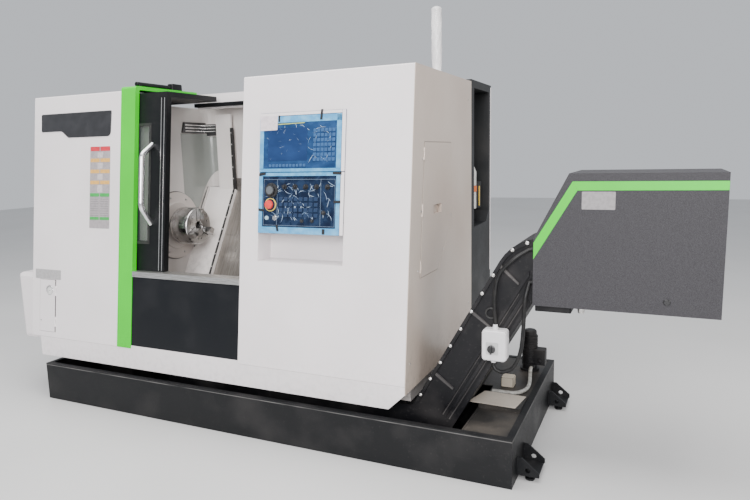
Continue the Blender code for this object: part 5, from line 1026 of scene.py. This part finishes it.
# Hand controls. A big override dial, an emergency stop on a yellow collar, five rotary selectors
# and smaller buttons, moulded in plastic and screwed into the keypad unit.
knob_black = mottled("knob_black", (0.010, 0.010, 0.011), (0.028, 0.028, 0.030), 90.0, 500.0, 0.35,
                     0.15, 0.0002, coat=0.2)
dial_x = 1.618
dial_z = 1.170
knob_gap = 0.0003
dial_foot = front_place(dial_x, dial_z, face + knob_gap)
skirt_profile = [(0, 0.0335), (0.004, 0.0340), (0.009, 0.0335), (0.0105, 0.0275)]
dial = lathe(Shape(), skirt_profile, dial_foot, outward, 72)
grip_profile = [(0.009, 0.0250), (0.020, 0.0245), (0.0232, 0.0235), (0.024, 0.0205), (0.0225, 0.0190),
                (0.0225, 0.006)]
lathe(dial, grip_profile, dial_foot, outward, 96, 32, 0.05)
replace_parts(dial.make("override_dial", knob_black, "mode_dial", "mode_dial"), "mode_dial")
cap_foot = front_place(dial_x, dial_z, face + 0.0228)
dial_face = lathe(Shape(), [(0, 0.0185), (0.0006, 0.0180)], cap_foot, outward, 40)
dial_face.make("override_dial_cap", printed("cap_grey", (0.10, 0.11, 0.12)), "mode_dial", "mode_dial")
red_cap = mottled("red_cap", (0.72, 0.05, 0.04), (0.58, 0.04, 0.035), 50.0, 400.0, 0.28, 0.08, 0.0002,
                  coat=0.5)
stop_x = 1.612
stop_z = 1.104
stop_profile = [(0, 0.0098), (0.0105, 0.0098), (0.0110, 0.0200), (0.0120, 0.0212), (0.0180, 0.0212),
                (0.0228, 0.0185), (0.0247, 0.0120), (0.0249, 0.0)]
stop = lathe(Shape(), stop_profile, front_place(stop_x, stop_z, face + 0.0004), outward, 56)
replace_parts(stop.make("stop_button", red_cap, "e_stop", "e_stop"), "e_stop")
collar_profile = [(0, 0.0112), (0, 0.0308), (0.0055, 0.0304), (0.0060, 0.0285), (0.0055, 0.0240),
                  (0.0022, 0.0226), (0.0022, 0.0112), (0, 0.0112)]
collar = lathe(Shape(), collar_profile, front_place(stop_x, stop_z, face - 0.0010), outward, 56, caps=False)
collar.make("stop_collar_ring", printed("collar_yellow", (0.72, 0.55, 0.12), 0.35), slot="keypad_unit")
selector_first = 1.688
selector_pitch = 0.0562
selector_z = 1.186
selector_turns = (-0.5, 0.2, 0.6, -0.2, 0.4)
selector_foot = [(0, 0.0118), (0.006, 0.0118), (0.0064, 0.0086)]
selector_grip = [(0.005, 0.0084), (0.0150, 0.0074), (0.0172, 0.0066), (0.018, 0.0040)]
bar_tip = 0.0098
bar_tail = 0.0080
bar_half = 0.0022
for number in range(5):
    x = selector_first + number * selector_pitch
    base = front_place(x, selector_z, face + knob_gap)
    selector = lathe(Shape(), selector_foot, base, outward, 36)
    lathe(selector, selector_grip, base, outward, 36, 12, 0.08)
    turn = selector_turns[number]
    along = np.array((math.sin(turn), math.cos(turn)))
    across = np.array((along[1], -along[0])) * bar_half
    tip = along * bar_tip
    tail = -along * bar_tail
    bar = np.array([tip + across, tip - across, tail - across, tail + across]) + (x, selector_z)
    plate(selector, bar, on_front, face + 0.0060, face + 0.0205, 0.0008)
    label = "selector_%d" % (number + 1)
    made = selector.make("selector_knob_%d" % (number + 1), knob_black, label, "panel_" + label)
    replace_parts(made, "panel_" + label)
buttons = Shape()
for x, z, radius in ((1.783, 1.033, 0.0085), (1.836, 1.034, 0.0085), (1.894, 1.071, 0.0100)):
    lathe(buttons, [(0, radius), (0.004, radius), (0.0044, radius * 0.7), (0.012, radius * 0.62),
                    (0.013, radius * 0.4)], front_place(x, z, face), outward, 28)
buttons.make("small_knobs", knob_black, slot="keypad_unit")
cycle_profile = [(0, 0.0100), (0.003, 0.0100), (0.006, 0.0085), (0.0075, 0.004)]
lights = lathe(Shape(), cycle_profile, front_place(1.593, 1.043, face), outward, 32)
lights.make("cycle_button", printed("button_pale", (0.42, 0.62, 0.72), 0.25), slot="keypad_unit")
hold_profile = [(0, 0.0115), (0.002, 0.0115), (0.0035, 0.0100), (0.0034, 0.0085)]
hold = lathe(Shape(), hold_profile, front_place(1.635, 1.043, face), outward, 32)
hold.make("hold_button", chrome, slot="keypad_unit")


# Rear cabinet. Dark painted sheet behind the covers, open at its side, with a filter bowl, its
# orange collar and a lubricator block on a plate inside, and a white edge strip.
cabinet_dark = dusty("cabinet_dark", (0.014, 0.015, 0.016), (0.07, 0.066, 0.062), 0.32, 0.4)
dress(cabinet_dark, "rear_cabinet")
bowl_white = mottled("bowl_white", (0.62, 0.61, 0.58), (0.46, 0.45, 0.42), 40.0, 250.0, 0.3, 0.1, coat=0.4)
bottle_low = 0.9990
bottle_foot = at(2.255, 1.200, bottle_low)
bowl_profile = [(0, 0.0285), (0.002, 0.0308), (0.096, 0.0308), (0.098, 0.0290), (0.132, 0.0290),
                (0.134, 0.0312), (0.206, 0.0312), (0.2125, 0.0308), (0.2420, 0.0190), (0.2425, 0.0120)]
bowls = lathe(Shape(), bowl_profile, bottle_foot, (0, 0, 1), 48)
bowls.make("filter_bowls", bowl_white, slot="rear_cabinet")
cap_profile = [(0.098, 0.0300), (0.099, 0.0335), (0.131, 0.0335), (0.132, 0.0300)]
oil_cap = lathe(Shape(), cap_profile, bottle_foot, (0, 0, 1), 48)
oil_cap.make("oil_cap", printed("cap_orange", (0.72, 0.16, 0.03), 0.35), slot="rear_cabinet")
block = plate(Shape(), rounded(2.2110, 2.2830, 1.2590, 1.3212, 0.003), on_deck, bottle_low, 1.1516, 0.003)
block.make("lubricator_block", cabinet_dark, slot="rear_cabinet")
tube = plate(Shape(), rounded(2.2826, 2.2860, 1.2680, 1.2830, 0.001), on_deck, 1.010, 1.125, 0.002)
tube.make("level_tube", printed("tube_yellow", (0.78, 0.50, 0.04), 0.3), slot="rear_cabinet")
side_face = 2.310


def on_side(y, z, out):
    """y to the back and z up on the right side face, out to the right of it."""
    return np.stack([machine_left + side_face + out, machine_front + y, z], axis=-1)


edge_strip = plate(Shape(), rounded(1.4245, 1.4390, 0.600, 1.700, 0.003), on_side, -0.0004, 0.0012, 0.0004)
edge_strip.make("cabinet_edge_strip", cover_white, slot="rear_cabinet")


# Side cover's screws. Zinc heads that hold the right cover at its rear edge, its foot and beside
# the access door.
side_out = 2.3101
side_places = ((0.275, 1.325), (0.214, 1.073), (0.170, 0.816), (0.950, 1.600), (0.950, 0.500), (0.060, 0.430))
side_heads = screws(Shape(), [at(side_out, y, z) for y, z in side_places], (1, 0, 0), cover_screw)
side_heads.make("side_screws", zinc, slot="right_side_cover")


# Signal lamp. A column lamp still in its white foam wrapping, tied at the foot.
wrap_white = Finish("wrap_white", 0.4, coat=0.2)
wrap_fold = wrap_white.noise(30.0, 5.0, (1.0, 1.0, 0.35))
wrap_white.colour(wrap_white.mix(wrap_fold.span(0.35, 0.7), (0.74, 0.73, 0.73), (0.52, 0.51, 0.52)))
wrap_white.bump(wrap_fold, 0.5, 0.004)
along = np.linspace(0, 1, 70)
tied = 0.10
crown = 0.955
neck = 0.0155 + 0.006 * along * 10
shaft = 0.0215 + 0.0045 * np.minimum(1, (along - tied) * 6)
column = np.where(along < tied, neck, shaft)
dome = column * np.sqrt(np.maximum(0.02, 1 - ((along - crown) / (1 - crown)) ** 2))
column = np.where(along > crown, dome, column)
around = np.linspace(0, 2 * math.pi, 56, endpoint=False)
length = along[:, None]
circle = around[None]
fold = 1 + 0.035 * np.sin(3 * circle + 9 * length) * np.sin(26 * length + circle)
fold += 0.02 * np.sin(7 * circle - 31 * length)
lamp_widest = 0.0269
lamp_tall = 0.350
lamp_radius = np.minimum(column[:, None] * fold, lamp_widest)
lamp_foot = at(2.200, 0.770, 1.7003)
lamp_rise = np.broadcast_to(lamp_foot[2] + lamp_tall * length, lamp_radius.shape)
lamp_points = np.stack([lamp_foot[0] + lamp_radius * np.cos(circle),
                        lamp_foot[1] + lamp_radius * np.sin(circle), lamp_rise], axis=-1)
lamp = Shape().grid(lamp_points)
lathe(lamp, [(0, 0.0220), (0.006, 0.0220), (0.0062, 0.015)], lamp_foot, (0, 0, 1), 32)
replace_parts(lamp.make("wrapped_lamp", wrap_white, slot="signal_lamp"), "signal_lamp")


# Chip conveyor. Black welded casing with long guide rails, a screwed upper edge, stiffening ribs
# and a flanged joint at the bend, dusty with swarf.
conveyor_black = dusty("conveyor_black", (0.006, 0.006, 0.0075), (0.09, 0.083, 0.08), 0.36, 0.42, 0.3, 0.8)
dress(conveyor_black, "conveyor_casing")
conveyor_face = 0.160
head_face = 0.1480
edge_x = 2.626
edge_z = 0.801


def on_conveyor(x, z, out):
    """x to the right and z up on the conveyor's front side, out in front of it."""
    return np.stack([machine_left + x, machine_front + conveyor_face - out, z], axis=-1)


def conveyor_place(up, inward):
    """(x, z) at a distance up the climb from the mark and inward of its upper edge."""
    return (edge_x + up * 0.5 + inward * slope_rise, edge_z + up * slope_rise - inward * 0.5)


edge_heads = Shape()
head_places = [conveyor_place(up, 0.009) for up in np.linspace(-0.62, 0.03, 8)]
bend_x = 2.8445
bend_z = 0.780
bend_radius = 0.191
for turn in np.radians([128, 108]):
    head_places.append((bend_x + bend_radius * math.cos(turn), bend_z + bend_radius * math.sin(turn)))
screws(edge_heads, [at(x, head_face, z) for x, z in head_places], (0, -1, 0), 0.0078)
bright_zinc = mottled("bright_zinc", (0.80, 0.79, 0.78), (0.52, 0.50, 0.47), 120.0, 380.0, 0.34,
                      metallic=0.85)
edge_heads.make("conveyor_screws", bright_zinc, slot="conveyor_casing")
ribs = Shape()
for up, lean_up in ((-0.165, -0.010), (-0.500, -0.010), (0.070, -0.020)):
    first = conveyor_place(up, 0.016)
    last = conveyor_place(up + lean_up, 0.116)
    ring = np.array([first, last, (last[0] + 0.004, last[1] + 0.007), (first[0] + 0.006, first[1] + 0.012)])
    plate(ribs, ring, on_conveyor, 0.0, 0.010, 0.002)
worn_grey = dusty("worn_grey", (0.055, 0.052, 0.052), (0.20, 0.185, 0.175), 0.5, 0.42, 0.3, 0.9)
ribs.make("conveyor_ribs", worn_grey, slot="conveyor_casing")
beading = Shape()
worn_edges = Shape()
rails = ((0.128, 0.0030, beading), (0.136, 0.0028, worn_edges), (0.152, 0.0026, beading),
         (0.170, 0.0030, worn_edges))
for inward, thick, shape in rails:
    marks = [conveyor_place(up, inward) for up in np.linspace(-0.64, 0.02, 12)]
    way = np.array([(machine_left + x, machine_front + 0.1595, z) for x, z in marks])
    pipe(shape, way, thick, 10)
beading.make("conveyor_beading", conveyor_black, slot="conveyor_casing")
worn_edges.make("conveyor_worn_edges", worn_grey, slot="conveyor_casing")
loop_radius = 0.021
loop_thick = 0.0040
loop_centre = at(2.641, 0.1435, 0.662)
loop_turn = np.linspace(0, 2 * math.pi, 40, endpoint=False)
small_turn = np.linspace(0, 2 * math.pi, 12, endpoint=False)
loop_ring = loop_radius + loop_thick * np.cos(small_turn)[:, None] * np.ones(40)[None]
loop_y = (loop_centre[1] + loop_thick * np.sin(small_turn))[:, None]
loop_points = np.stack([loop_centre[0] + loop_ring * np.cos(loop_turn)[None],
                        np.broadcast_to(loop_y, (12, 40)),
                        loop_centre[2] + loop_ring * np.sin(loop_turn)[None]], axis=-1)
loop = Shape().grid(np.concatenate([loop_points, loop_points[:1]]), caps=False)
loop.make("cable_loop", rubber, slot="conveyor_cable_upper")


# Isolator box. Pale plastic housing with a square plate, a rotary knob and cable glands, with one
# black cable up to the hood and one that swings under the box and up.
box_pale = mottled("box_pale", (0.72, 0.71, 0.72), (0.62, 0.61, 0.62), 12.0, 420.0, 0.42, detail=4.0,
                   coat=0.2)
box_back = 0.1477
box_corner = 0.013
box_split = 0.036
box_deep = 0.055
cord_y = 0.1202
upper_x = 2.666
lower_x = 2.659
isolator = Shape()
base_outline = rounded(2.614, 2.716, 0.472, 0.602, box_corner, 7)
plate(isolator, base_outline, facing(box_back), 0.0, box_split, 0.0008)
lid_outline = rounded(2.6150, 2.7150, 0.4730, 0.6010, box_corner, 7)
plate(isolator, lid_outline, facing(box_back), box_split, box_deep, 0.0050)
screw_profile = [(0, 0.0045), (0.0006, 0.0042), (0.0005, 0.002)]
for x, z in ((2.626, 0.484), (2.704, 0.484), (2.626, 0.590), (2.704, 0.590)):
    lathe(isolator, screw_profile, at(x, box_back - 0.0548, z), (0, -1, 0), 16)
upper_gland = [(0, 0.0125), (0.010, 0.0125), (0.011, 0.0105), (0.023, 0.0092)]
lathe(isolator, upper_gland, at(upper_x, cord_y, 0.601), (0, 0, 1), 12)
lower_gland = [(0, 0.0125), (0.008, 0.0122), (0.012, 0.0100)]
lathe(isolator, lower_gland, at(lower_x, cord_y, 0.473), (0, 0, -1), 12)
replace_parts(isolator.make("isolator_box", box_pale, slot="switch_box"), "switch_box")
knob_outline = rounded(2.633, 2.685, 0.500, 0.553, 0.004)
knob_plate = plate(Shape(), knob_outline, facing(box_back), box_deep, 0.0556, 0.0002)
knob_plate.make("isolator_plate", printed("isolator_grey", (0.50, 0.50, 0.50), 0.35), slot="switch_box")
turn_knob = Shape()
knob_foot = 0.0922
knob_profile = [(0, 0.0170), (0.005, 0.0168), (0.0058, 0.0155)]
lathe(turn_knob, knob_profile, at(2.656, knob_foot, 0.524), (0, -1, 0), 40)
plate(turn_knob, rounded(2.6525, 2.6595, 0.505, 0.541, 0.003), facing(knob_foot), 0.004, 0.0165, 0.0015)
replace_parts(turn_knob.make("isolator_knob", knob_black, "switch_knob", "switch_knob"), "switch_knob")
cable_black = mottled("cable_black", (0.005, 0.005, 0.0055), (0.016, 0.0155, 0.015), 40.0, 380.0, 0.45, 0.2,
                      coat=0.05, shine=0.3)
cable_radius = 0.0080
hood_entry = 2.8099
bend_in = 2.7959


def cable(first, marks, last, count):
    """A cable, straight at both ends and smooth through its marks."""
    way = smooth_way([at(*mark) for mark in marks], count)
    return pipe(Shape(), np.concatenate([[at(*first)], way, [at(*last)]]), cable_radius, 18)


upper_marks = [(upper_x, cord_y, 0.640), (2.663, 0.1162, 0.690), (2.665, 0.1142, 0.760),
               (2.682, cord_y, 0.835), (2.738, 0.1262, 0.898), (bend_in, 0.150, 0.937)]
upper_cable = cable((upper_x, cord_y, 0.6245), upper_marks, (hood_entry, 0.150, 0.937), 80)
upper_made = upper_cable.make("upper_cable", cable_black, slot="conveyor_cable_upper")
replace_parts(upper_made, "conveyor_cable_upper")
lower_marks = [(lower_x, cord_y, 0.446), (2.672, 0.1162, 0.430), (2.703, 0.1142, 0.426),
               (2.744, 0.1162, 0.452), (2.770, cord_y, 0.520), (2.780, cord_y, 0.620),
               (2.785, cord_y, 0.735), (bend_in, 0.146, 0.804)]
lower_cable = cable((lower_x, cord_y, 0.4597), lower_marks, (hood_entry, 0.146, 0.804), 110)
lower_made = lower_cable.make("lower_cable", cable_black, slot="conveyor_cable_lower")
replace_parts(lower_made, "conveyor_cable_lower")


# Hood. A dark hammer-finish sheet box over the conveyor's head, with a bright green stripe along
# its shoulder and top, a bare pale sticker, a plug and a drip tray under it.
hood_fleck = Finish("hood_fleck", 0.55, shine=0.35)
fleck = hood_fleck.noise(520.0, 3.0)
grain = hood_fleck.cells(560.0)
tone = hood_fleck.mix(fleck.span(0.38, 0.62), (0.018, 0.017, 0.020), (0.058, 0.056, 0.062))
tone = hood_fleck.mix(grain.span(0.22, 0.05) * 0.30, tone, (0.15, 0.145, 0.15))
hood_fleck.colour(tone)
hood_fleck.put("Roughness", 0.48 + fleck.span(0.3, 0.7) * 0.2)
hood_fleck.bump(fleck, 0.5, 0.0008)
dress(hood_fleck, "conveyor_hood")
hood_face = 0.140
hood_left = 2.8112
hood_right = 3.4795
foil_edge = 0.0003
stripe = Shape()
bend_high = (2.955, 1.206)
bend_low = (2.973, 1.172)
shoulder = np.array([(hood_left, 0.9640), bend_high, bend_low, (hood_left, 0.8985)])
plate(stripe, shoulder, facing(hood_face), 0.0, 0.0010, foil_edge)
top_run = np.array([bend_high, (hood_right, 1.207), (hood_right, 1.175), bend_low])
plate(stripe, top_run, facing(hood_face), 0.0, 0.00102, foil_edge)
stripe.make("green_stripe", pillar_green, slot="conveyor_hood")
sticker_outline = rounded(2.990, 3.110, 1.100, 1.168, 0.003)
sticker = plate(Shape(), sticker_outline, facing(hood_face), 0.0, 0.0009, foil_edge)
sticker.make("bare_sticker", printed("sticker_pale", (0.30, 0.285, 0.29), 0.5), slot="conveyor_hood")
plug_profile = [(0, 0.013), (0.002, 0.0125), (0.004, 0.010), (0.0035, 0.006)]
plug = lathe(Shape(), plug_profile, at(3.300, hood_face, 0.760), (0, -1, 0), 28)
plug.make("hood_plug", knob_black, slot="conveyor_hood")
drip = plate(Shape(), rounded(2.816, 2.957, 0.165, 0.495, 0.006), on_deck, 0.682, 0.7085, 0.004)
drip.make("drip_tray", conveyor_black, slot="conveyor_hood")
fitting_profile = [(0, 0.012), (0.010, 0.014), (0.026, 0.014), (0.030, 0.009)]
fitting = lathe(Shape(), fitting_profile, at(2.992, 0.200, 0.680), (0, 0, 1), 24)
fitting.make("drip_fitting", zinc, slot="conveyor_hood")


# Studio. A pale floor that carries a soft shadow, broad lights from above and the front, and the
# camera where the photograph was taken.
floor_size = 30.0
floor_mesh = bpy.data.meshes.new("studio_floor")
half = floor_size / 2
floor_level = -0.0005
floor_corners = [(-half, -half, floor_level), (half, -half, floor_level), (half, half, floor_level),
                 (-half, half, floor_level)]
floor_mesh.from_pydata(floor_corners, [], [(0, 1, 2, 3)])
floor_paint = Finish("floor_paint", 0.45)
floor_cloud = floor_paint.noise(0.8).span(0.4, 0.7)
floor_paint.colour(floor_paint.mix(floor_cloud, (0.60, 0.60, 0.595), (0.57, 0.57, 0.565)))
floor_mesh.materials.append(floor_paint.material)
floor = bpy.data.objects.new("studio_floor", floor_mesh)
bpy.context.scene.collection.objects.link(floor)
world = bpy.data.worlds.new("studio")
world.use_nodes = True
sky = world.node_tree.nodes["Background"]
sky.inputs["Color"].default_value = (0.80, 0.83, 0.88, 1.0)
sky.inputs["Strength"].default_value = 0.80
bpy.context.scene.world = world


def soft_light(name, place, target, size, power, colour):
    """A square area lamp that looks at a target."""
    data = bpy.data.lights.new(name, "AREA")
    data.shape = "RECTANGLE"
    data.size = size[0]
    data.size_y = size[1]
    data.energy = power
    data.color = colour
    lamp_object = bpy.data.objects.new(name, data)
    heading = Vector(target) - Vector(place)
    lamp_object.matrix_world = (Matrix.Translation(place)
                                @ heading.to_track_quat("-Z", "Y").to_matrix().to_4x4())
    bpy.context.scene.collection.objects.link(lamp_object)


soft_light("ceiling", (0.0, -1.0, 5.2), (0.0, 0.0, 0.6), (6.0, 4.0), 410.0, (1.0, 0.98, 0.96))
soft_light("front_fill", (2.3, -5.8, 3.0), (0.0, 0.0, 0.9), (3.0, 3.0), 430.0, (1.0, 0.98, 0.985))
soft_light("side_fill", (5.2, -0.8, 2.4), (0.6, 0.0, 0.8), (2.5, 2.5), 62.0, (1.0, 0.93, 0.86))
camera_data = bpy.data.cameras.new("photo_camera")
picture_width = 750.0
focal_pixels = 626.77
camera_data.lens = camera_data.sensor_width * focal_pixels / picture_width
camera = bpy.data.objects.new("photo_camera", camera_data)
yaw = 0.4308
pitch = -0.1527
roll = -0.0233
ahead = Vector((-math.sin(yaw) * math.cos(pitch), math.cos(yaw) * math.cos(pitch), math.sin(pitch)))
level_right = Vector((math.cos(yaw), math.sin(yaw), 0.0))
level_up = level_right.cross(ahead)
right = level_right * math.cos(roll) + level_up * math.sin(roll)
up = level_up * math.cos(roll) - level_right * math.sin(roll)
stand = Vector((1.8662, -2.8544, 1.3287))
camera.matrix_world = Matrix(((right.x, up.x, -ahead.x, stand.x), (right.y, up.y, -ahead.y, stand.y),
                              (right.z, up.z, -ahead.z, stand.z), (0.0, 0.0, 0.0, 1.0)))
bpy.context.scene.collection.objects.link(camera)
bpy.context.scene.camera = camera
